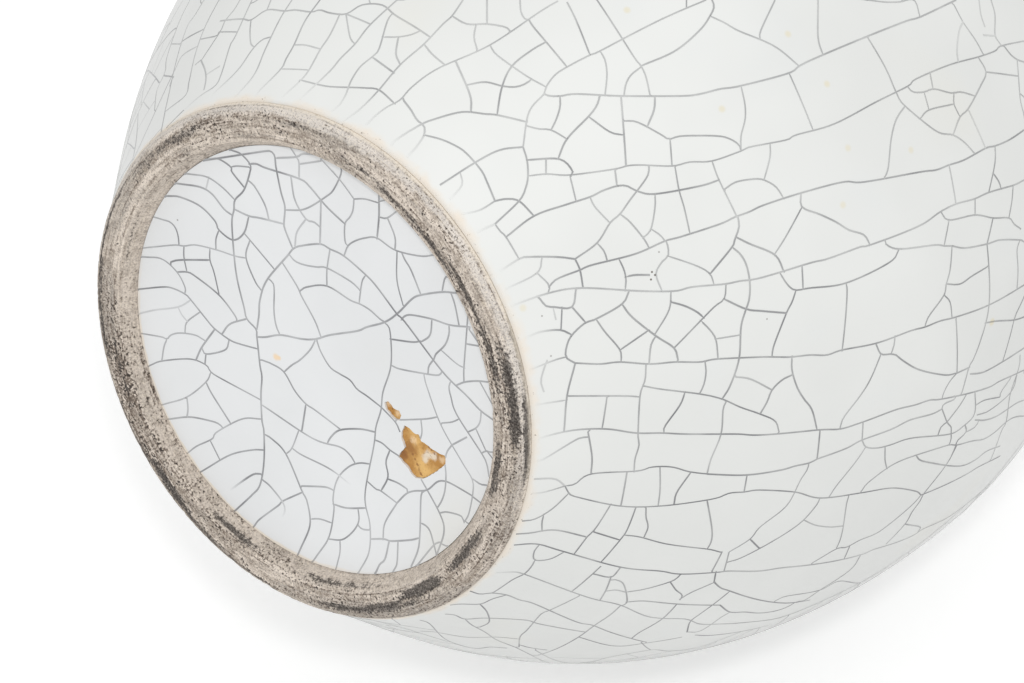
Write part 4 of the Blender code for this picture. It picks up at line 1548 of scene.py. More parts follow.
def piece(name: str, mesh: bpy.types.Mesh, material: bpy.types.Material, slot: Slot) -> bpy.types.Object:
    """Add a finished mesh as a piece that rides on the vase.

    Args:
        name: Its name.
        mesh: Its mesh, in place.
        material: Its material.
        slot: Its slot in the record; not used.

    Returns:
        The piece.
    """
    mesh.name = name
    mesh.materials.clear()
    mesh.materials.append(material)
    made = in_scene(name, mesh)
    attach(made, BODY)
    LOG.info("%s: %d faces", name, len(mesh.polygons))
    return made


def closed(points: Sequence[Sequence[float]], faces: Sequence[Sequence[int]]) -> bpy.types.Mesh:
    """Smooth closed mesh without loose points, its faces turned outwards.

    Args:
        points: The mesh's points.
        faces: Each face as places in the list of points.

    Returns:
        The mesh.
    """
    mesh = bpy.data.meshes.new("closed")
    mesh.from_pydata(points, [], faces)
    built = bmesh.new()
    built.from_mesh(mesh)
    bmesh.ops.delete(built, geom=[vert for vert in built.verts if not vert.link_faces], context="VERTS")
    bmesh.ops.recalc_face_normals(built, faces=built.faces)
    built.to_mesh(mesh)
    built.free()
    mesh.shade_smooth()
    return mesh


def turned(profile: Sequence[Point], around: int,
           shift: Callable[[Vector], Vector] | None = None) -> bpy.types.Mesh:
    """Closed solid turned about the axis.

    Args:
        profile: Points of the closed section, clockwise as seen with the axis on the left.
        around: Number of steps round the axis.
        shift: Moves each point, if given.

    Returns:
        The mesh, smooth.
    """
    points, faces = [], []
    count = len(profile)
    for step in range(around):
        angle = math.tau * step / around
        side = (math.cos(angle), math.sin(angle))
        for radius, height in profile:
            point = Vector((radius * side[0], radius * side[1], height))
            points.append(shift(point) if shift else point)
    for step in range(around):
        start, after = step * count, (step + 1) % around * count
        for index in range(count):
            below = (index + 1) % count
            faces.append((start + index, start + below, after + below, after + index))
    return closed(points, faces)


@dataclass(frozen=True)
class Lens:
    """The photograph's camera, as it stands to the vase."""

    width: float = 1024.0
    height: float = 683.0
    focal: float = 2900.0
    sensor: float = 36.0
    tilt: float = math.radians(42.288)
    roll: float = math.radians(31.129)
    foot: tuple[float, float, float] = (-42.644 * MM, -5.939 * MM, -575.601 * MM)
    # Where lines of sight are searched for the vase, from and to, and in how many places
    nearest: float = 0.35
    farthest: float = 0.75
    sight_steps: int = 1601

    def turn(self) -> Matrix:
        """Rotation from the vase's axes to the camera's.

        Returns:
            The rotation.
        """
        lean, roll = self.tilt, self.roll
        axis = Vector((
            math.sin(lean) * math.cos(roll),
            math.sin(lean) * math.sin(roll),
            -math.cos(lean),
        ))
        side = Vector((math.sin(roll), -math.cos(roll), 0.0))
        return Matrix((side, axis.cross(side), axis)).transposed()

    def place(self) -> Vector:
        """The camera's place in the vase's frame."""
        return -(self.turn().transposed() @ Vector(self.foot))

    def ray(self, pixel: Point) -> Vector:
        """Direction of the line of sight through a pixel.

        Args:
            pixel: Pixel of the photograph.

        Returns:
            The direction, of length 1.
        """
        across = (pixel[0] - self.width / 2.0) / self.focal
        up = (self.height / 2.0 - pixel[1]) / self.focal
        return (self.turn().transposed() @ Vector((across, up, -1.0))).normalized()

    def pixel(self, point: Vector) -> Point:
        """Pixel at which a point of the vase shows.

        Args:
            point: Point of the vase.

        Returns:
            The pixel.
        """
        seen = self.turn() @ point + Vector(self.foot)
        reach = self.focal / -seen.z
        return (self.width / 2.0 + seen.x * reach, self.height / 2.0 - seen.y * reach)

    def land(self, face: TurnedFace, pixel: Point) -> Vector | None:
        """Point of a turned face that a pixel shows.

        Args:
            face: The face.
            pixel: Place in the photograph.

        Returns:
            The nearest such point, or None where the pixel misses the face.
        """
        start, way = self.place(), self.ray(pixel)
        reaches = np.linspace(self.nearest, self.farthest, self.sight_steps)
        places = np.array(start)[None, :] + reaches[:, None] * np.array(way)[None, :]
        flats = np.hypot(places[:, 0], places[:, 1])
        heights = np.array(face.heights)
        radii = np.array(face.radii)
        if heights.max() - heights.min() > radii.max() - radii.min():
            outside = flats - np.interp(places[:, 2], heights, radii, left=0.0, right=0.0)
        else:
            order = np.argsort(radii)
            outside = np.interp(flats, radii[order], heights[order]) - places[:, 2]
            outside[flats > radii.max()] = 1.0
        entered = np.nonzero(outside < 0.0)[0]
        if len(entered) == 0 or entered[0] == 0:
            return None
        after = int(entered[0])
        share = outside[after - 1] / (outside[after - 1] - outside[after])
        reach = reaches[after - 1] + (reaches[after] - reaches[after - 1]) * share
        place = start + way * float(reach)
        return face.snap(place, face.find(place))[0]

    def land_flat(self, pixel: Point, height: float) -> Vector:
        """Point of a level plane that a pixel shows."""
        start, way = self.place(), self.ray(pixel)
        return start + way * ((height - start.z) / way.z)

    def make(self) -> bpy.types.Object:
        """Add the camera to the scene.

        Returns:
            The camera.
        """
        data = bpy.data.cameras.new("photo_camera")
        data.sensor_width = self.sensor
        data.lens = self.focal * self.sensor / self.width
        data.clip_start = 0.01
        data.clip_end = 30.0
        camera = in_scene("photo_camera", data)
        camera.matrix_world = Matrix.Translation(self.place()) @ self.turn().transposed().to_4x4()
        bpy.context.scene.camera = camera
        return camera


LENS = Lens()


@dataclass(frozen=True)
class Spot:
    """Speck in the glaze, where the photograph shows it."""

    mark: Point
    radius: float
    colour: tuple[float, float, float]
    strength: float


def alike(radius: float, colour: tuple[float, float, float], strength: float, *marks: Point) -> list[Spot]:
    """Specks of one kind, with their radius in millimetres, at several places."""
    return [Spot(mark, radius * MM, colour, strength) for mark in marks]


BODY_SPOTS = (
    *alike(0.22, PINHOLE, 0.95, (652, 272), (655, 275), (651, 279.5)),
    *alike(0.20, PINHOLE, 0.55, (542, 316), (551, 356), (767, 319), (659, 252)),
    *alike(0.75, IRON_YELLOW, 0.55, (627, 10), (722, 109), (788, 34), (827, 84)),
    *alike(0.75, IRON_YELLOW, 0.45, (843, 205), (848, 148), (911, 150), (523, 308)),
    *alike(0.90, IRON_YELLOW, 0.70, (992, 322)),
)
CHIP_SPOTS = (
    *alike(1.70, SCAR_BROWN, 0.55, (409, 449)),
    *alike(1.25, SCAR_BROWN, 0.85, (402, 455)),
    *alike(0.34, SCAR_BROWN, 0.75, (412, 455), (414, 460), (416, 465), (418, 470), (420, 475)),
    *alike(0.95, CREAM, 0.85, (427, 455), (432, 457), (424, 459)),
    *alike(0.26, SCAR_BROWN, 0.85, (428, 448), (430, 451), (432, 454)),
    *alike(0.50, SCAR_BROWN, 0.45, (437, 459)),
    *alike(0.90, OCHRE_PALE, 0.60, (387, 404), (397, 413), (441, 461), (412, 441)),
    *alike(0.25, PINHOLE, 0.80, (391, 410)),
)
BASE_SPOTS = (
    *alike(0.22, PINHOLE, 0.60, (177.5, 220), (186, 398), (251, 527)),
    *alike(0.80, OCHRE_PALE, 0.85, (276, 357)),
    *alike(0.55, OCHRE_PALE, 0.85, (279, 358)),
)


class GlazeFinish(Finish):
    """Glossy white glaze, and the same glaze with a crack's line along its middle."""

    # How much darker than its tint the glaze is in its clouds
    cloud_share = 0.945
    # Places across a strip, in half widths, from where the crack's line is gone to where it is full
    line_edges = (2.0, 0.2)
    # Greatest share of the crack's colour
    darkest = 0.97
    # Where the glaze is thin and where it holds dirt, above the glaze line, and how far both wander
    thin_edge = (1.9 * MM, -0.2 * MM)
    dirty_edge = (1.2 * MM, 0.1 * MM)
    edge_wander = 4.2 * MM

    def __init__(self, name: str, tint: tuple[float, float, float], cracked: bool,
                 spots: Sequence[tuple[Vector, Spot]]) -> None:
        """Make the glaze.

        Args:
            name: The material's name.
            tint: Its colour where it is thick and clean.
            cracked: Whether the piece is a strip with a crack in it.
            spots: Place and kind of each speck.
        """
        super().__init__(name)
        _, _, height = self.parts(self.place)
        clouds = self.grain(self.place, 21.0, 3.0, 0.55)
        mist = self.grain(self.place, 70.0, 2.0, 0.5)
        colour = self.mix(clouds.rise(0.30, 0.72), tint, tuple(part * self.cloud_share for part in tint))
        warm = self.grain(self.place, 33.0, 1.0, 0.4)
        colour = self.mix(warm.rise(0.64, 0.82) * 0.45, colour, GLAZE_WARM)
        colour = self.mix(mist.rise(0.55, 0.8) * 0.25, colour, GLAZE_COOL)
        colour = self.edged(colour, height)
        colour = self.spotted(colour, spots)
        if cracked:
            across = self.node("ShaderNodeAttribute", {"attribute_name": "across"}, {}, "Fac")
            stain = self.node("ShaderNodeAttribute", {"attribute_name": "stain"}, {}, "Fac")
            core = abs(across).rise(*self.line_edges)
            uneven = self.grain(self.place, 120.0, 2.0, 0.6).rise(0.25, 0.75) * 0.50 + 0.60
            colour = self.mix((core * stain * uneven).least(self.darkest), colour, CRACK_LINE)
        ripple = self.grain(self.place, 260.0, 2.0, 0.5)
        self.material = self.principled({
            "Base Color": colour,
            "Roughness": 0.16,
            "IOR": 1.5,
            "Normal": self.bump(ripple, 0.25, 0.05 * MM),
        })

    def edged(self, colour: Socket, height: Socket) -> Socket:
        """Colour with the coat's edge at the foot, where it thins over the clay.

        Args:
            colour: Colour of the glaze.
            height: Height above the standing face.

        Returns:
            The colour with its fringe.
        """
        edge = height + (self.grain(self.place, 190.0, 3.0, 0.6) - 0.5) * self.edge_wander
        thin = edge.rise(*(FORM.line_height + up for up in self.thin_edge))
        colour = self.mix(thin * 0.80, colour, GLAZE_THIN)
        dirt = self.grain(self.place, 1100.0, 3.0, 0.7).rise(0.63, 0.70)
        near = edge.rise(*(FORM.line_height + up for up in self.dirty_edge))
        return self.mix(dirt * near * 0.70, colour, RING_BROWN)


class BaseGlazeFinish(GlazeFinish):
    """Cool glaze of the recess, with a cream edge where it thins at the ring."""

    # Where the photograph shows that edge, and its height
    cream_side: Point = (185, 480)
    cream_level = 1.2 * MM
    # Distances from the rim at which it starts and is full, and how far it wanders
    cream_edge = (0.80 * MM, 0.20 * MM)
    cream_wander = 0.8 * MM

    def edged(self, colour: Socket, height: Socket) -> Socket:
        """Colour with the cream edge on the side that the photograph shows it.

        Args:
            colour: The coat's colour.
            height: Height above the standing face; not used.

        Returns:
            The colour with the edge.
        """
        x, y, _ = self.parts(self.place)
        radius = (x * x + y * y) ** 0.5
        spot = LENS.land_flat(self.cream_side, self.cream_level)
        side = math.atan2(spot.y, spot.x)
        along = (x * math.cos(side) + y * math.sin(side)) / radius
        limit = FORM.bore - SKIN_INSET
        uneven = (self.grain(self.place, 300.0, 2.0, 0.5) - 0.5) * self.cream_wander
        rim = (radius + uneven).rise(*(limit - depth for depth in self.cream_edge))
        return self.mix(rim * along.rise(0.35, 0.85) * 0.75, colour, CREAM)


class BodyClayFinish(Finish):
    """Fired ochre clay as the chips and the inside show it."""

    def __init__(self, name: str, spots: Sequence[tuple[Vector, Spot]] = ()) -> None:
        """Make the clay.

        Args:
            name: The material's name.
            spots: Place and kind of each stain on it.
        """
        super().__init__(name)
        broad = self.grain(self.place, 210.0, 4.0, 0.6)
        fine = self.grain(self.place, 1500.0, 3.0, 0.7)
        colour = self.mix(broad.rise(0.35, 0.68), OCHRE_DARK, OCHRE_LIGHT)
        colour = self.spotted(colour, spots, 1.6 * MM)
        colour = self.mix(fine.rise(0.55, 0.68) * 0.45, colour, OCHRE_GRIT)
        height = broad * 0.7 + fine * 0.3
        self.material = self.principled({
            "Base Color": colour,
            "Roughness": 0.82,
            "Normal": self.bump(height, 0.7, 0.35 * MM),
        })


@dataclass(frozen=True)
class Stain:
    """Dark patch on the foot ring, where the photograph shows it.

    It spreads by degrees round the ring and reaches by millimetres across it.
    """

    mark: Point
    spread: float
    reach: float
    strength: float


class RingFinish(Finish):
    """Bare buff stoneware with turned lines, dark dirt and worn edges, with painted light making the outer
    edge paler on one side.
    """

    # Place across the ring and width of each turned line, in millimetres, and its darkness
    lines = (
        (44.6, 0.30, 0.45), (46.9, 0.24, 0.60), (48.4, 0.30, 0.80), (49.6, 0.22, 0.55),
        (50.7, 0.40, 0.75), (51.9, 0.26, 0.60), (52.9, 0.34, 0.80), (54.6, 0.24, 0.50), (56.4, 0.36, 0.75),
    )

    # Where the photograph shows the outer edge at its palest
    # Painted light: the outer edge and its cream rim are painted paler on the side of the ring towards this
    # point.
    painted_light_side: Point = (300, 118)
    # Where the smooth inner edge, the pale outer edge and the cream rim start and are full, across the ring
    inner_edge = (48.3 * MM, 46.7 * MM)
    outer_edge = (53.0 * MM, 54.8 * MM)
    rim_edge = (56.0 * MM, 57.3 * MM)
    # How far the edges, the rim and the turned lines wander
    edge_wander = 3.0 * MM
    rim_wander = 2.2 * MM
    line_wander = 0.8 * MM
    # Radius of the small circle that the drawn grain is read on, which stretches it round the ring
    drawn_radius = 4.5 * MM

    def __init__(self, name: str, patches: Sequence[tuple[float, float, Stain]]) -> None:
        """Make the ring's clay.

        Args:
            name: The material's name.
            patches: Angle, place across the ring and kind of each dark patch.
        """
        super().__init__(name)
        x, y, z = self.parts(self.place)
        radius = (x * x + y * y) ** 0.5
        self.side = (x / radius, y / radius)
        middle = (FORM.flat_outer + FORM.flat_inner) / 2.0
        self.across = radius + z * (radius - middle).maths("SIGN")
        self.slow = self.joined(*self.side, self.across * 60.0)
        self.drawn = self.joined(*(part * self.drawn_radius for part in self.side), self.across)
        self.fine = self.grain(self.drawn, 2600.0, 3.0, 0.65)
        self.wide = self.grain(self.drawn, 800.0, 3.0, 0.6)
        self.mottle = self.grain(self.place, 520.0, 4.0, 0.62)
        self.grit = self.grain(self.place, 1900.0, 2.0, 0.6)
        self.salt = self.grain(self.place, 2700.0, 2.0, 0.7)
        # Painted light: a share from 0.1 to 1 round the ring, largest on the side towards that point.
        pale = self.facing(LENS.land_flat(self.painted_light_side, RING_LEVEL)).rise(-0.55, 0.45) * 0.9 + 0.1
        inner, outer = self.edges(pale)
        colour = self.clay(inner, outer)
        colour = self.turned_lines(colour)
        colour = self.gritty(colour, inner, outer)
        colour = self.sooted(colour, patches)
        # The cream rim is the clay's own; painted light makes it stronger on that side.
        rim = (self.across + (self.mottle - 0.5) * self.rim_wander).rise(*self.rim_edge)
        colour = self.mix(rim * 0.60 * pale, colour, CREAM)
        height = self.mottle * 0.35 + self.fine * 0.40 + self.grit * 0.25
        self.material = self.principled({
            "Base Color": colour,
            "Roughness": 0.88,
            "Normal": self.bump(height, 0.85, 0.30 * MM),
        })

    def facing(self, spot: Vector) -> Socket:
        """Cosine of the turn round the ring away from a spot."""
        return self.side[0] * (spot.x / spot.length) + self.side[1] * (spot.y / spot.length)

    def edges(self, pale: Socket) -> tuple[Socket, Socket]:
        """Smooth inner edge, and pale outer edge that painted light makes paler on one side.

        Args:
            pale: Share of the outer edge, which the photograph shows pale on one side; it is painted light,
                largest on that side.

        Returns:
            Share of each.
        """
        drift = self.grain(self.slow, 2.2, 2.0, 0.5) - 0.5
        edge = self.across + (self.mottle - 0.5) * self.edge_wander + drift * self.edge_wander
        # The outer edge's share carries the painted light.
        return edge.rise(*self.inner_edge), edge.rise(*self.outer_edge) * pale

    def clay(self, inner: Socket, outer: Socket) -> Socket:
        """Mottled buff clay with its worn edges, the outer one painted paler on one side as painted light.

        Args:
            inner: Share of the smooth inner edge.
            outer: Share of the pale outer edge, which carries painted light on one side of the ring.

        Returns:
            The colour.
        """
        tone = self.mottle * 0.45 + self.wide * 0.55
        colour = self.mix(tone.rise(0.38, 0.60), BUFF_DARK, BUFF_LIGHT)
        colour = self.mix(self.grain(self.slow, 2.6, 2.0, 0.5).rise(0.48, 0.66) * 0.55, colour, BUFF_GREY)
        colour = self.mix(self.grain(self.drawn, 1300.0, 2.0, 0.5).rise(0.52, 0.66) * 0.45, colour, BUFF_GREY)
        smooth = self.mix((self.mottle * 0.6 + self.grit * 0.4).rise(0.42, 0.60), BUFF_LIGHT, BUFF_DARK)
        colour = self.mix(inner * 0.62, colour, smooth)
        # Pale outer edge; its strength on one side of the ring is painted light.
        return self.mix(outer * 0.70, colour, RIM_PALE)

    def turned_lines(self, colour: Socket) -> Socket:
        """Colour with the broken brown lines that turning left.

        Args:
            colour: The clay's colour.

        Returns:
            The colour with the lines.
        """
        wander = self.across + (self.grain(self.slow, 3.0, 2.0, 0.5) - 0.5) * self.line_wander
        worn = (self.fine * 0.5 + self.grit * 0.5).rise(0.36, 0.56)
        for index, (place, width, strength) in enumerate(self.lines):
            broken = self.grain(self.joined(*self.side, index * 3.7), 4.5, 4.0, 0.7).rise(0.40, 0.62)
            ridge = abs(wander - place * MM).rise(width * MM, width * 0.3 * MM)
            colour = self.mix(ridge * broken * worn * strength, colour, RING_BROWN)
        return colour

    def gritty(self, colour: Socket, inner: Socket, outer: Socket) -> Socket:
        """Colour with brown, cream and black grit, which is thinner on the worn edges and where painted light
        makes the outer edge paler.

        Args:
            colour: Colour of the clay.
            inner: Share of the smooth inner edge.
            outer: Share of the pale outer edge, which carries painted light on one side of the ring.

        Returns:
            The colour with its grit.
        """
        busy = (inner * 0.7).most(outer) * -0.045
        dense = self.grain(self.slow, 1.7, 3.0, 0.6) - 0.5
        colour = self.mix(self.salt.rise(0.53, 0.66) * (0.50 - inner * 0.25), colour, RING_BROWN)
        colour = self.mix(self.salt.rise(0.47, 0.36) * 0.55, colour, CREAM)
        specks = self.grit * 0.40 + self.fine * 0.36 + self.wide * 0.24 + dense * 0.45 + busy
        colour = self.mix(specks.rise(0.515, 0.605) * 0.80, colour, RING_BROWN)
        pepper = self.grit * 0.62 + self.mottle * 0.38 + dense * 0.30 + busy
        return self.mix(pepper.rise(0.565, 0.625) * 0.90, colour, DIRT)

    def sooted(self, colour: Socket, patches: Sequence[tuple[float, float, Stain]]) -> Socket:
        """Colour with the dark patches.

        Args:
            colour: Colour of the clay.
            patches: Angle, place across the ring and kind of each patch.

        Returns:
            The colour with its patches.
        """
        soot = None
        for angle, reach, stain in patches:
            along = self.side[0] * math.cos(angle) + self.side[1] * math.sin(angle)
            near = along.rise(math.cos(math.radians(stain.spread) * 1.5), 1.0)
            band = abs(self.across - reach).rise(stain.reach * MM * 1.2, 0.0)
            patch = near * band * stain.strength
            soot = patch if soot is None else soot.most(patch)
        breaks = self.mottle * 0.35 + self.grit * 0.35 + self.fine * 0.30
        dark = (breaks + (soot.least(0.76) - 0.5) * 0.56).rise(0.47, 0.62)
        sooty = self.mix(self.salt.rise(0.56, 0.40) * 0.32, DIRT, BUFF_GREY)
        return self.mix(dark * 0.90, colour, sooty)


@dataclass
class OutsideCoat:
    """White coat from the glaze line up over the lip, with its crackle."""

    around: int = 360
    rim_steps: int = 14
    # Height of the rim's curve over half its width, which keeps it under the solids' faceted rim
    rim_flatness: float = 0.83
    # Points of the outer face for each one of the back, which is never seen
    back_stride: int = 3
    # Least cosine towards the camera, and left edge in pixels, of what the photograph shows clearly
    least_facing: float = 0.17
    left_edge: float = 190.0
    # Strength of the runs that were read, and its shares at the photograph's top and bottom
    read_stain: float = 0.82
    read_slant: tuple[float, float] = (0.78, 1.18)
    # Strength and greatest length of what is carried on past the edge of what was read
    lengthened: tuple[float, float] = (0.80, 90.0 * MM)
    # Rounds of splitting: size of the cells, number of seeds and strength of the runs
    rounds: tuple[tuple[float, int, float], ...] = (
        (4.0, 260, 0.95), (2.5, 700, 0.9), (1.6, 2600, 0.8), (1.15, 6000, 0.7), (0.9, 9000, 0.6),
    )
    # Heights at which the crackle is cut into pieces
    foot_top: float = 70.0 * MM
    belly_top: float = 150.0 * MM

    def front(self) -> list[Point]:
        """Open face of the coat, from the glaze line to the inner edge of the rim."""
        outer = FORM.inset(lambda height: SKIN_INSET)
        return outer + self.rim(outer[-1], FORM.inner_face()[-1])

    def rim(self, start: Point, end: Point) -> list[Point]:
        """Points of the half circle over the rim, with its end.

        Args:
            start: Its start on the outer face.
            end: Its end on the inner face.

        Returns:
            The points after the start.
        """
        middle = ((start[0] + end[0]) / 2.0, (start[1] + end[1]) / 2.0)
        arm = (start[0] - middle[0], start[1] - middle[1])
        points = []
        for step in range(1, self.rim_steps + 1):
            angle = math.pi * step / self.rim_steps
            turn, lift = math.cos(angle), math.sin(angle) * self.rim_flatness
            points.append((
                middle[0] + arm[0] * turn - arm[1] * lift,
                middle[1] + arm[1] * turn + arm[0] * lift,
            ))
        return points

    def section(self) -> list[Point]:
        """Closed section of the coat.

        Returns:
            Its points, in order.
        """
        back = FORM.inset(lambda height: FORM.glaze)[::self.back_stride]
        inner = FORM.inset(lambda height: FORM.glaze + 2.0 * SEAT_GAP + FORM.wall(height))[-1]
        return self.front() + [inner] + self.rim(back[-1], inner)[-2::-1] + back[::-1]

    def clearance(self, point: Vector) -> float:
        """Half width of the cells at a place.

        Args:
            point: The place.

        Returns:
            The half width.
        """
        marks = (0.0, 40.0 * MM, 110.0 * MM, 215.0 * MM, 260.0 * MM, 350.0 * MM)
        sizes = (2.6 * MM, 4.2 * MM, 5.6 * MM, 5.0 * MM, 3.6 * MM, 3.0 * MM)
        return float(np.interp(point.z, marks, sizes))

    def build(self, glaze: GlazeFinish, crack: GlazeFinish) -> None:
        """Make the coat and its crackle.

        Args:
            glaze: Finish of the coat.
            crack: Finish of the cracks' strips.
        """
        mesh = turned(self.section(), self.around)
        skin = piece("glaze_skin_outside", mesh, glaze.material, Slot.WHITE_GLAZE)
        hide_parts("glaze_outside")
        face = TurnedFace(self.front(), -1.0)
        eye = LENS.place()

        def shown(point: Vector) -> bool:
            """Whether the photograph shows a point of the coat clearly.

            Args:
                point: The point.

            Returns:
                True if it does.
            """
            x, y = LENS.pixel(point)
            _, normal, _ = face.snap(point, face.find(point))
            framed = self.left_edge < x < LENS.width and 0.0 < y < LENS.height
            facing = normal.dot((eye - point).normalized()) > self.least_facing
            return framed and facing and point.z < FORM.root_height - FORM.root_rise

        net = Crackle(face, 7)
        net.read(BODY_RUNS, CRACK_HALF, self.read_stain, slant=self.read_slant)
        LOG.info("%d runs read on the body", len(net.cracks))
        net.lengthen(CRACK_HALF, *self.lengthened, lambda point: not shown(point))
        for scale, tries, stain in self.rounds:
            width = CRACK_HALF * (0.7 + 0.3 * stain)
            net.split(lambda point: self.clearance(point) * scale, tries, width, stain, shown)
            LOG.info("%d cracks", len(net.cracks))
        bands = {
            "foot": (0.0, self.foot_top),
            "belly": (self.foot_top, self.belly_top),
            "top": (self.belly_top, math.inf),
        }
        for name, (low, high) in bands.items():
            own = [item for item in net.cracks if low <= item.points[len(item.points) // 2].z < high]
            strips(f"crackle_{name}", own, crack.material, Slot.WHITE_GLAZE)


@dataclass
class InsideCoat:
    """White coat inside the neck, with its crackle."""

    around: int = 180
    # The first crack runs round the middle in two halves
    ring_steps: int = 140
    ring_stain: float = 0.8
    # Rounds of splitting: size of the cells and number of seeds
    cell: float = 3.6 * MM
    rounds: tuple[tuple[float, int], ...] = ((2.4, 300), (1.5, 900), (1.0, 1600))
    split_share: float = 0.9
    split_stain: float = 0.75

    def front(self) -> list[Point]:
        """Open face, from its lower end to the rim.

        Returns:
            Its points, from below.
        """
        low = FORM.root_height - FORM.coat_drop
        kept = [point for point in FORM.inner_face() if point[1] > low]
        kept[-1] = (kept[-1][0], kept[-1][1] - SEAT_GAP)
        return kept

    def build(self, glaze: GlazeFinish, crack: GlazeFinish) -> None:
        """Make the coat and its crackle.

        Args:
            glaze: Finish of the coat.
            crack: Finish of the cracks' strips.
        """
        front = self.front()
        back = [(radius + FORM.glaze, height) for radius, height in front]
        mesh = turned(front + back[::-1], self.around)
        skin = piece("glaze_skin_inside", mesh, glaze.material, Slot.WHITE_GLAZE)
        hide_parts("glaze_inside")
        net = Crackle(TurnedFace(front, 1.0), 31)
        middle = net.face.length / 2.0
        steps = self.ring_steps
        ring = [net.face.point(math.tau * step / steps, middle) for step in range(steps + 1)]
        net.add(ring[:steps // 2], CRACK_HALF, self.ring_stain)
        net.add(ring[steps // 2 - 1:], CRACK_HALF, self.ring_stain)
        for scale, tries in self.rounds:
            width = CRACK_HALF * self.split_share
            net.split(lambda point: self.cell * scale, tries, width, self.split_stain, lambda point: False)
        strips("crackle_inside", net.cracks, crack.material, Slot.WHITE_GLAZE)


@dataclass(frozen=True)
class Chip:
    """Place where the base's glaze has come off, as the photograph shows its outline."""

    name: str
    marks: tuple[Point, ...]


@dataclass
class BaseCoat:
    """Cool white coat in the recess, its crackle, and the chips in it."""

    around: int = 400
    face_steps: int = 60
    # Sides of the triangles in the skin, and in the broken clay
    spacing: float = 1.3 * MM
    scar_spacing: float = 0.35 * MM
    # Depths of the broken clay and of its back behind the glaze's face, and its gap to the chip's edge
    scar_depth: float = 0.45 * MM
    scar_back: float = 1.05 * MM
    scar_gap: float = 0.06 * MM
    # Distance between points on a chip's edge, and least angle of an edge that stays sharp
    edge_step: float = 0.25 * MM
    sharp_angle: float = math.radians(35.0)
    # Distance between a run's points, and distance from the rim within which its ends are carried on to it
    stride: float = 0.7 * MM
    carry: float = 3.2 * MM
    read_stain: float = 0.80
    chips: tuple[Chip, ...] = (
        Chip("large", (
            (404, 425), (409, 427.5), (413, 432), (419, 435), (421, 441), (430, 447.5), (440, 454),
            (446, 456), (445.5, 464), (435, 472.5), (422.5, 479.5), (415, 477.5), (405, 465), (398, 457),
            (404, 447.5), (401, 437.5), (403, 430),
        )),
        Chip("small", (
            (384.5, 403), (388, 401), (391, 404), (394.5, 409), (399, 411), (401.5, 416), (399, 420.5),
            (395, 419.5), (390, 414), (386, 409.5),
        )),
    )

    def radius(self) -> float:
        """Radius of the coat."""
        return FORM.bore - SKIN_INSET

    def face(self) -> TurnedFace:
        """The coat's open face, from the middle to the edge, seen from below.

        Returns:
            The face.
        """
        rim = self.radius()
        steps = [rim * step / self.face_steps for step in range(self.face_steps + 1)]
        return TurnedFace([(r, FORM.base_height(r) + SKIN_INSET) for r in steps], -1.0)

    def outline(self, chip: Chip, face: TurnedFace, shrink: float = 0.0) -> list[Vector]:
        """Broken edge of a chip on the face.

        Args:
            chip: The chip.
            face: The coat's face.
            shrink: Distance that the edge is drawn in.

        Returns:
            Its points, close together and slightly ragged.
        """
        marks = [LENS.land(face, mark) for mark in chip.marks]
        middle = sum(marks, Vector()) / len(marks)
        points = []
        for start, end in zip(marks, marks[1:] + marks[:1]):
            count = max(int((end - start).length / self.edge_step), 1)
            for step in range(count):
                place = start.lerp(end, step / count)
                ragged = noise.noise(place * 1500.0) * 0.16 + noise.noise(place * 500.0) * 0.20
                away = (place - middle).normalized()
                points.append(place + away * (ragged * MM - shrink))
        return points

    def sheet(self, rim: list[Point], holes: list[list[Point]]) -> tuple[list[Point], list[tuple[int, ...]]]:
        """Flat triangles inside a rim and outside its holes.

        Args:
            rim: Outline, anticlockwise.
            holes: Outlines that are left open.

        Returns:
            Points and triangles.
        """
        points, edges = [], []
        for loop in (rim, *holes):
            start = len(points)
            points += loop
            edges += [(start + index, start + (index + 1) % len(loop)) for index in range(len(loop))]

        def filled(spot: Sequence[float]) -> bool:
            """Whether a spot is inside the rim and outside the holes."""
            return within(spot, rim) and not any(within(spot, hole) for hole in holes)

        outlines = list(points)
        lows = [min(point[axis] for point in rim) for axis in (0, 1)]
        highs = [max(point[axis] for point in rim) for axis in (0, 1)]
        rows = int((highs[1] - lows[1]) / (self.spacing * 0.866)) + 1
        for row in range(rows):
            for column in range(int((highs[0] - lows[0]) / self.spacing) + 2):
                across = lows[0] + (column - 0.5 * (row % 2)) * self.spacing
                spot = (across, lows[1] + row * self.spacing * 0.866)
                if filled(spot) and all(math.dist(spot, point) > self.spacing * 0.4 for point in outlines):
                    points.append(spot)
        made = delaunay_2d_cdt([Vector(point) for point in points], edges, [], 0, 1e-8)
        places, triangles = made[0], made[2]
        kept = []
        for triangle in triangles:
            if filled(sum((places[index] for index in triangle), Vector((0.0, 0.0))) / 3.0):
                kept.append(tuple(triangle))
        return [tuple(place) for place in places], kept

    def shell(self, flat: tuple[list[Point], list[tuple[int, ...]]], low: Callable[[Point], float],
              high: Callable[[Point], float]) -> bpy.types.Mesh:
        """Closed plate between two heights on flat triangles.

        Args:
            flat: Points and triangles.
            low: Height of the face that looks down.
            high: Height of the face that looks up.

        Returns:
            The mesh.
        """
        places, triangles = flat
        count = len(places)
        points = [(x, y, low((x, y))) for x, y in places] + [(x, y, high((x, y))) for x, y in places]
        faces = [tuple(reversed(triangle)) for triangle in triangles]
        faces += [tuple(index + count for index in triangle) for triangle in triangles]
        sides: dict[tuple[int, int], int] = {}
        for triangle in triangles:
            for first, second in zip(triangle, triangle[1:] + triangle[:1]):
                if sides.pop((second, first), None) is None:
                    sides[(first, second)] = 1
        faces += [(first, second, second + count, first + count) for first, second in sides]
        mesh = closed(points, faces)
        mesh.set_sharp_from_angle(angle=self.sharp_angle)
        return mesh

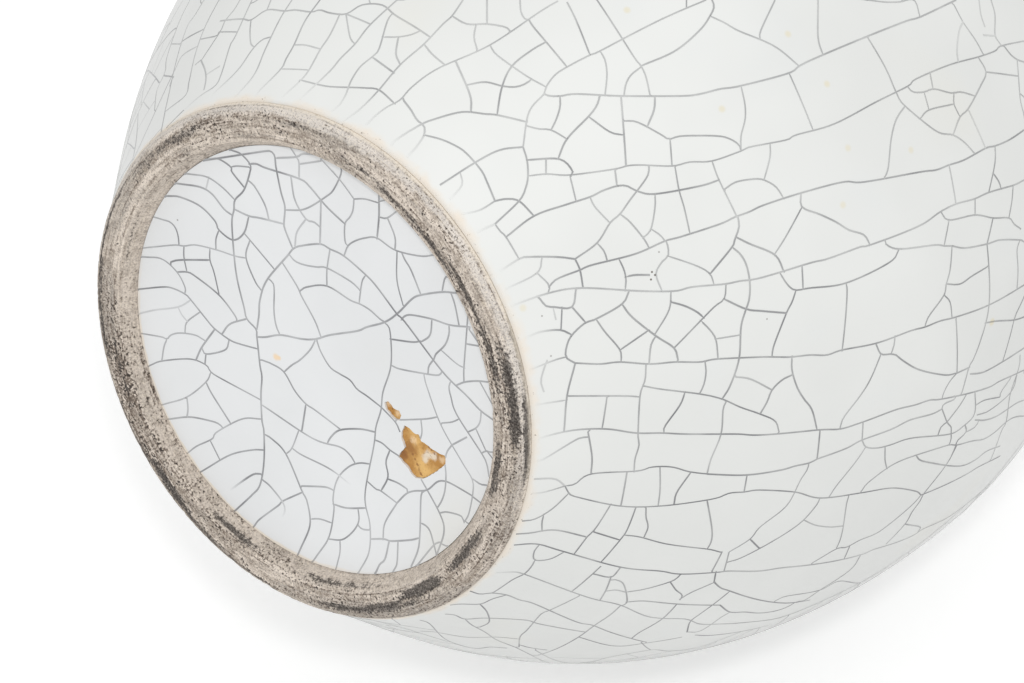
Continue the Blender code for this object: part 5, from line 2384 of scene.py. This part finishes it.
    def build(self, glaze: GlazeFinish, crack: GlazeFinish, clay: BodyClayFinish) -> None:
        """Make the coat, its crackle and the broken clay in its chips.

        Args:
            glaze: Finish of the coat.
            crack: Finish of the cracks' strips.
            clay: Finish of the bare clay.
        """
        face = self.face()
        turns = [math.tau * step / self.around for step in range(self.around)]
        rim = [(self.radius() * math.cos(turn), self.radius() * math.sin(turn)) for turn in turns]
        loops = {chip.name: [(p.x, p.y) for p in self.outline(chip, face)] for chip in self.chips}

        def low(spot: Point) -> float:
            """Height of the open face."""
            return FORM.base_height(math.hypot(*spot)) + SKIN_INSET

        def scar(spot: Point) -> float:
            """Height of the broken clay.

            Args:
                spot: Place on the base.

            Returns:
                The height there.
            """
            place = Vector((spot[0], spot[1], 0.0))
            rough = noise.noise(place * 420.0) * 0.22 + noise.noise(place * 1400.0) * 0.10
            return low(spot) + self.scar_depth + rough * MM

        flat = self.sheet(rim, list(loops.values()))
        mesh = self.shell(flat, low, lambda spot: low(spot) + FORM.glaze - 2.0 * SKIN_INSET)
        skin = piece("glaze_skin_base", mesh, glaze.material, Slot.BASE_GLAZE)
        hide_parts("glaze_base")
        fine = BaseCoat(spacing=self.scar_spacing)
        for chip in self.chips:
            loop = [(p.x, p.y) for p in self.outline(chip, face, self.scar_gap)]
            broken = self.shell(fine.sheet(loop, []), scar, lambda spot: low(spot) + self.scar_back)
            piece(f"chip_clay_{chip.name}", broken, clay.material, Slot.BODY_CLAY)
        net = Crackle(face, 5, self.stride)
        net.read(BASE_RUNS, BASE_CRACK_HALF, self.read_stain, self.carry)
        cracks = []
        for item in net.cracks:
            cracks += item.parted(lambda p: any(within((p.x, p.y), loop) for loop in loops.values()))
        strips("crackle_base", cracks, crack.material, Slot.BASE_GLAZE)


def within(spot: Sequence[float], loop: Sequence[Point]) -> bool:
    """Whether a spot lies inside a closed outline.

    Args:
        spot: The spot.
        loop: The outline's corners, in order.

    Returns:
        True if it does.
    """
    inside = False
    for (x1, y1), (x2, y2) in zip(loop, [*loop[1:], loop[0]]):
        if (y1 > spot[1]) != (y2 > spot[1]) and spot[0] < (x2 - x1) * (spot[1] - y1) / (y2 - y1) + x1:
            inside = not inside
    return inside


@dataclass
class FootRing:
    """Bare turned ring that the vase stands on."""

    around: int = 720
    # Radius and steps of a worn corner, radius of a hidden one, and distance between points on what is seen
    corner: float = 0.30 * MM
    corner_steps: int = 3
    hidden_corner: float = 0.02 * MM
    stride: float = 0.12 * MM
    stains: tuple[Stain, ...] = (
        Stain((165, 150), 17.0, 3.4, 0.60),
        Stain((300, 128), 12.0, 1.6, 0.56),
        Stain((365, 168), 9.0, 1.5, 0.60),
        Stain((402, 203), 9.0, 1.5, 0.68),
        Stain((440, 250), 9.0, 1.6, 0.70),
        Stain((470, 292), 10.0, 1.6, 0.72),
        Stain((494, 352), 10.0, 1.9, 0.74),
        Stain((522, 362), 11.0, 1.8, 0.72),
        Stain((512, 400), 14.0, 3.4, 0.76),
        Stain((529, 440), 12.0, 2.4, 0.80),
        Stain((500, 470), 9.0, 2.0, 0.72),
        Stain((470, 552), 9.0, 2.4, 0.76),
        Stain((425, 590), 8.0, 2.8, 0.86),
        Stain((385, 603), 8.0, 2.2, 0.76),
        Stain((335, 582), 17.0, 3.6, 0.60),
        Stain((235, 532), 9.0, 2.8, 0.76),
        Stain((172, 483), 9.0, 2.8, 0.78),
        Stain((104, 250), 22.0, 1.1, 0.80),
        Stain((133, 236), 10.0, 1.8, 0.58),
        Stain((120, 365), 16.0, 0.9, 0.66),
        Stain((372, 606), 20.0, 2.0, 0.70),
        Stain((181, 500), 20.0, 2.0, 0.68),
        Stain((235, 558), 16.0, 1.7, 0.66),
        Stain((134, 427), 12.0, 1.5, 0.68),
        Stain((105, 306), 16.0, 1.3, 0.66),
    )

    def section(self) -> list[Point]:
        """Closed section of the ring, with its corners rounded by wear.

        Returns:
            Its points, in order.
        """
        inset = SKIN_INSET
        ledge = FORM.recess_depth + FORM.glaze
        clay = FORM.inset(lambda height: FORM.glaze + SEAT_GAP + inset)
        shoulder = next(point for point in clay if point[1] > FORM.ring_top)
        corners = [
            (FORM.flat_outer, inset),
            (FORM.flat_outer + FORM.outer_bevel_run - inset, FORM.outer_bevel_height),
            (FORM.line_radius - 1.3 * inset, FORM.line_height - 1.6 * inset),
            (clay[0][0], clay[0][1]),
            shoulder,
            (FORM.bore + FORM.ledge_width + inset, shoulder[1]),
            (FORM.bore + FORM.ledge_width + inset, ledge),
            (FORM.bore + inset, ledge),
            (FORM.bore + inset, FORM.recess_depth),
            (FORM.flat_inner - FORM.inner_bevel_run + inset, FORM.inner_bevel_height),
            (FORM.flat_inner, inset),
        ]
        # Numbers of the corners, and of the runs after corners, that the coats and the floor cover
        hidden_corners, hidden_runs = (4, 5, 6, 7), (3, 4, 5, 6)
        points = []
        for index, corner in enumerate(corners):
            before, after = corners[index - 1], corners[(index + 1) % len(corners)]
            radius = self.hidden_corner if index in hidden_corners else self.corner
            entry = toward(corner, before, radius)
            leave = toward(corner, after, radius)
            points += curve(entry, corner, corner, leave, self.corner_steps)
            run = math.dist(leave, toward(after, corner, radius))
            steps = 1 if index in hidden_runs else max(int(run / self.stride), 1)
            ending = toward(after, corner, self.corner)
            points += [between(leave, ending, step / steps) for step in range(1, steps)]
        return points

    def worn(self, point: Vector) -> Vector:
        """Point of the ring after turning marks and wear.

        Args:
            point: Point of the smooth ring.

        Returns:
            The point where it lies on the worn ring.
        """
        radius = math.hypot(point.x, point.y)
        side = Vector((point.x / radius, point.y / radius, 0.0))
        if point.z > FORM.line_height and radius > FORM.bore + 2.0 * SKIN_INSET:
            return point
        lines = Vector((side.x * 0.6, side.y * 0.6, (radius - point.z * 0.6) * 1500.0))
        marks = noise.noise(lines) * 0.10 + noise.noise(lines * 2.3) * 0.05
        pits = min(noise.noise(point * 900.0) + 0.15, 0.0) * 0.30 + noise.noise(point * 2200.0) * 0.03
        depth = max(min(marks + pits, 0.0), -0.30) * MM
        lean = 0.0
        if radius > FORM.flat_outer:
            lean = 0.6
        elif radius < FORM.flat_inner:
            lean = -0.6
        inward = Vector((0.0, 0.0, 1.0)) * 0.8 - side * lean
        return point - inward.normalized() * depth

    def build(self, finish_class: type[RingFinish]) -> None:
        """Make the ring.

        Args:
            finish_class: Class of its finish.
        """
        patches = []
        middle = (FORM.flat_outer + FORM.flat_inner) / 2.0
        for stain in self.stains:
            spot = LENS.land_flat(stain.mark, RING_LEVEL)
            radius = math.hypot(spot.x, spot.y)
            across = radius + math.copysign(RING_LEVEL, radius - middle)
            patches.append((math.atan2(spot.y, spot.x), across, stain))
        mesh = turned(self.section(), self.around, self.worn)
        ring = piece("foot_ring_turned", mesh, finish_class("ring_clay", patches).material, Slot.BARE_CLAY)
        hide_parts("foot_ring")


def toward(start: Point, end: Point, distance: float) -> Point:
    """Point at a distance from one point on the way to another."""
    length = math.dist(start, end)
    return between(start, end, min(distance, length * 0.45) / length)


def frame_object(node: str) -> bpy.types.Object:
    """The object of a CAD node."""
    return next(item for item in bpy.data.objects if item.get("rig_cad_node") and item.name == node)


@dataclass
class Studio:
    """White table that the vase lies on, and soft light."""

    # Direction that the table faces, its distance from the middle of the vase's foot and half its side
    table_way: tuple[float, float, float] = (-0.56777, -0.75721, -0.32291)
    table_reach: float = 0.1480
    table_half: float = 2.5
    table_white: float = 0.90
    table_glow: float = 0.27
    key_sides: tuple[float, float] = (1.3, 1.0)
    key_energy: float = 0.5
    # The key lamp's place along the camera's right, up and back, from the vase's foot
    key_place: tuple[float, float, float] = (0.15, 0.85, 0.75)
    front_size: float = 0.045
    front_energy: float = 0.74
    # The front lamp's place from the lens, to the right and up, and how far above the vase's foot it aims
    front_shift: float = 0.008
    front_rise: float = 0.050
    front_aim: float = 0.070
    surround: float = 0.82

    def table(self) -> None:
        """White floor that keeps the vase's shadow and can't be seen from below."""
        way = Vector(self.table_way).normalized()
        mesh = bpy.data.meshes.new("floor")
        side = way.orthogonal().normalized()
        other = way.cross(side)
        middle = way * -self.table_reach
        ends = ((-1, -1), (1, -1), (1, 1), (-1, 1))
        corners = [middle + (side * a + other * b) * self.table_half for a, b in ends]
        mesh.from_pydata(corners, [], [(0, 1, 2, 3)])
        in_scene("floor", mesh)
        look = Finish("floor_white")
        shade = look.node("ShaderNodeBsdfDiffuse", {}, {"Color": (self.table_white,) * 3})
        glow = look.node("ShaderNodeEmission", {}, {"Color": WHITE, "Strength": self.table_glow})
        both = look.node("ShaderNodeAddShader", {}, {0: shade, 1: glow})
        camera = look.node("ShaderNodeLightPath", {}, {}, "Is Camera Ray")
        front = look.node("ShaderNodeMixShader", {}, {0: camera, 1: shade, 2: both})
        clear = look.node("ShaderNodeBsdfTransparent", {}, {})
        back = look.node("ShaderNodeNewGeometry", {}, {}, "Backfacing")
        shown = look.node("ShaderNodeMixShader", {}, {0: back, 1: front, 2: clear})
        look.node("ShaderNodeOutputMaterial", {}, {"Surface": shown})
        mesh.materials.append(look.material)

    def lamp(self, name: str, sides: tuple[float, ...], energy: float, place: Vector,
             aim: Vector) -> bpy.types.Object:
        """Add a soft lamp.

        Args:
            name: Its name.
            sides: Two sides of a rectangle, or the diameter of a disk.
            energy: Its power.
            place: Where it hangs.
            aim: What it points at.

        Returns:
            The lamp.
        """
        data = bpy.data.lights.new(name, "AREA")
        data.shape = "DISK" if len(sides) == 1 else "RECTANGLE"
        data.size = sides[0]
        data.size_y = sides[-1]
        data.energy = energy
        lamp = in_scene(name, data)
        lamp.location = place
        lamp.rotation_euler = (place - aim).to_track_quat("Z", "Y").to_euler()
        return lamp

    def lamps(self) -> None:
        """Large lamp from above the camera, and a small one beside the lens, which keeps shadows close."""
        turn = LENS.turn().transposed()
        right, up, back = (turn @ Vector(way) for way in ((1, 0, 0), (0, 1, 0), (0, 0, 1)))
        beside, above, behind = self.key_place
        place = back * behind + up * above + right * beside
        self.lamp("key_lamp", self.key_sides, self.key_energy, place, Vector())
        place = LENS.place() + up * self.front_rise + right * self.front_shift
        aim = Vector((0.0, 0.0, self.front_aim))
        front = self.lamp("front_lamp", (self.front_size,), self.front_energy, place, aim)
        front.visible_glossy = False

    def air(self) -> None:
        """White surround that lights the vase evenly."""
        world = bpy.data.worlds.new("surround")
        bpy.context.scene.world = world
        world.use_nodes = True
        nodes = Nodes(world.node_tree)
        shown = nodes.node("ShaderNodeBackground", {}, {"Color": WHITE})
        light = nodes.node("ShaderNodeBackground", {}, {"Color": (self.surround,) * 3})
        camera = nodes.node("ShaderNodeLightPath", {}, {}, "Is Camera Ray")
        mixed = nodes.node("ShaderNodeMixShader", {}, {0: camera, 1: light, 2: shown})
        nodes.node("ShaderNodeOutputWorld", {}, {"Surface": mixed})


def placed(spots: Sequence[Spot], face: TurnedFace) -> list[tuple[Vector, Spot]]:
    """Specks with their places on a face."""
    pairs = [(LENS.land(face, spot.mark), spot) for spot in spots]
    return [(place, spot) for place, spot in pairs if place is not None]


def main() -> None:
    """Dress the vase, piece by piece."""
    logging.basicConfig(level=logging.INFO, format="%(message)s")
    bpy.context.scene.view_settings.view_transform = "Standard"
    LENS.make()
    clay = BodyClayFinish("ochre_clay")
    outside, inside, under = OutsideCoat(), InsideCoat(), BaseCoat()
    body_spots = placed(BODY_SPOTS, TurnedFace(outside.front(), -1.0))
    base_spots = placed(BASE_SPOTS, under.face())
    depth = Vector((0.0, 0.0, under.scar_depth))
    stains = [(place + depth, spot) for place, spot in placed(CHIP_SPOTS, under.face())]
    scar = BodyClayFinish("scar_clay", stains)
    white = GlazeFinish("glaze_white", GLAZE_WHITE, False, body_spots)
    white_crack = GlazeFinish("glaze_white_crack", GLAZE_WHITE, True, body_spots)
    outside.build(white, white_crack)
    inside.build(white, white_crack)
    base = BaseGlazeFinish("glaze_cool", GLAZE_BASE, False, base_spots)
    base_crack = BaseGlazeFinish("glaze_cool_crack", GLAZE_BASE, True, base_spots)
    under.build(base, base_crack, scar)
    FootRing().build(RingFinish)
    for node in COVERED:
        for slot in frame_object(node).material_slots:
            slot.material = clay.material
    studio = Studio()
    studio.table()
    studio.lamps()
    studio.air()


if __name__ == "__main__":
    main()
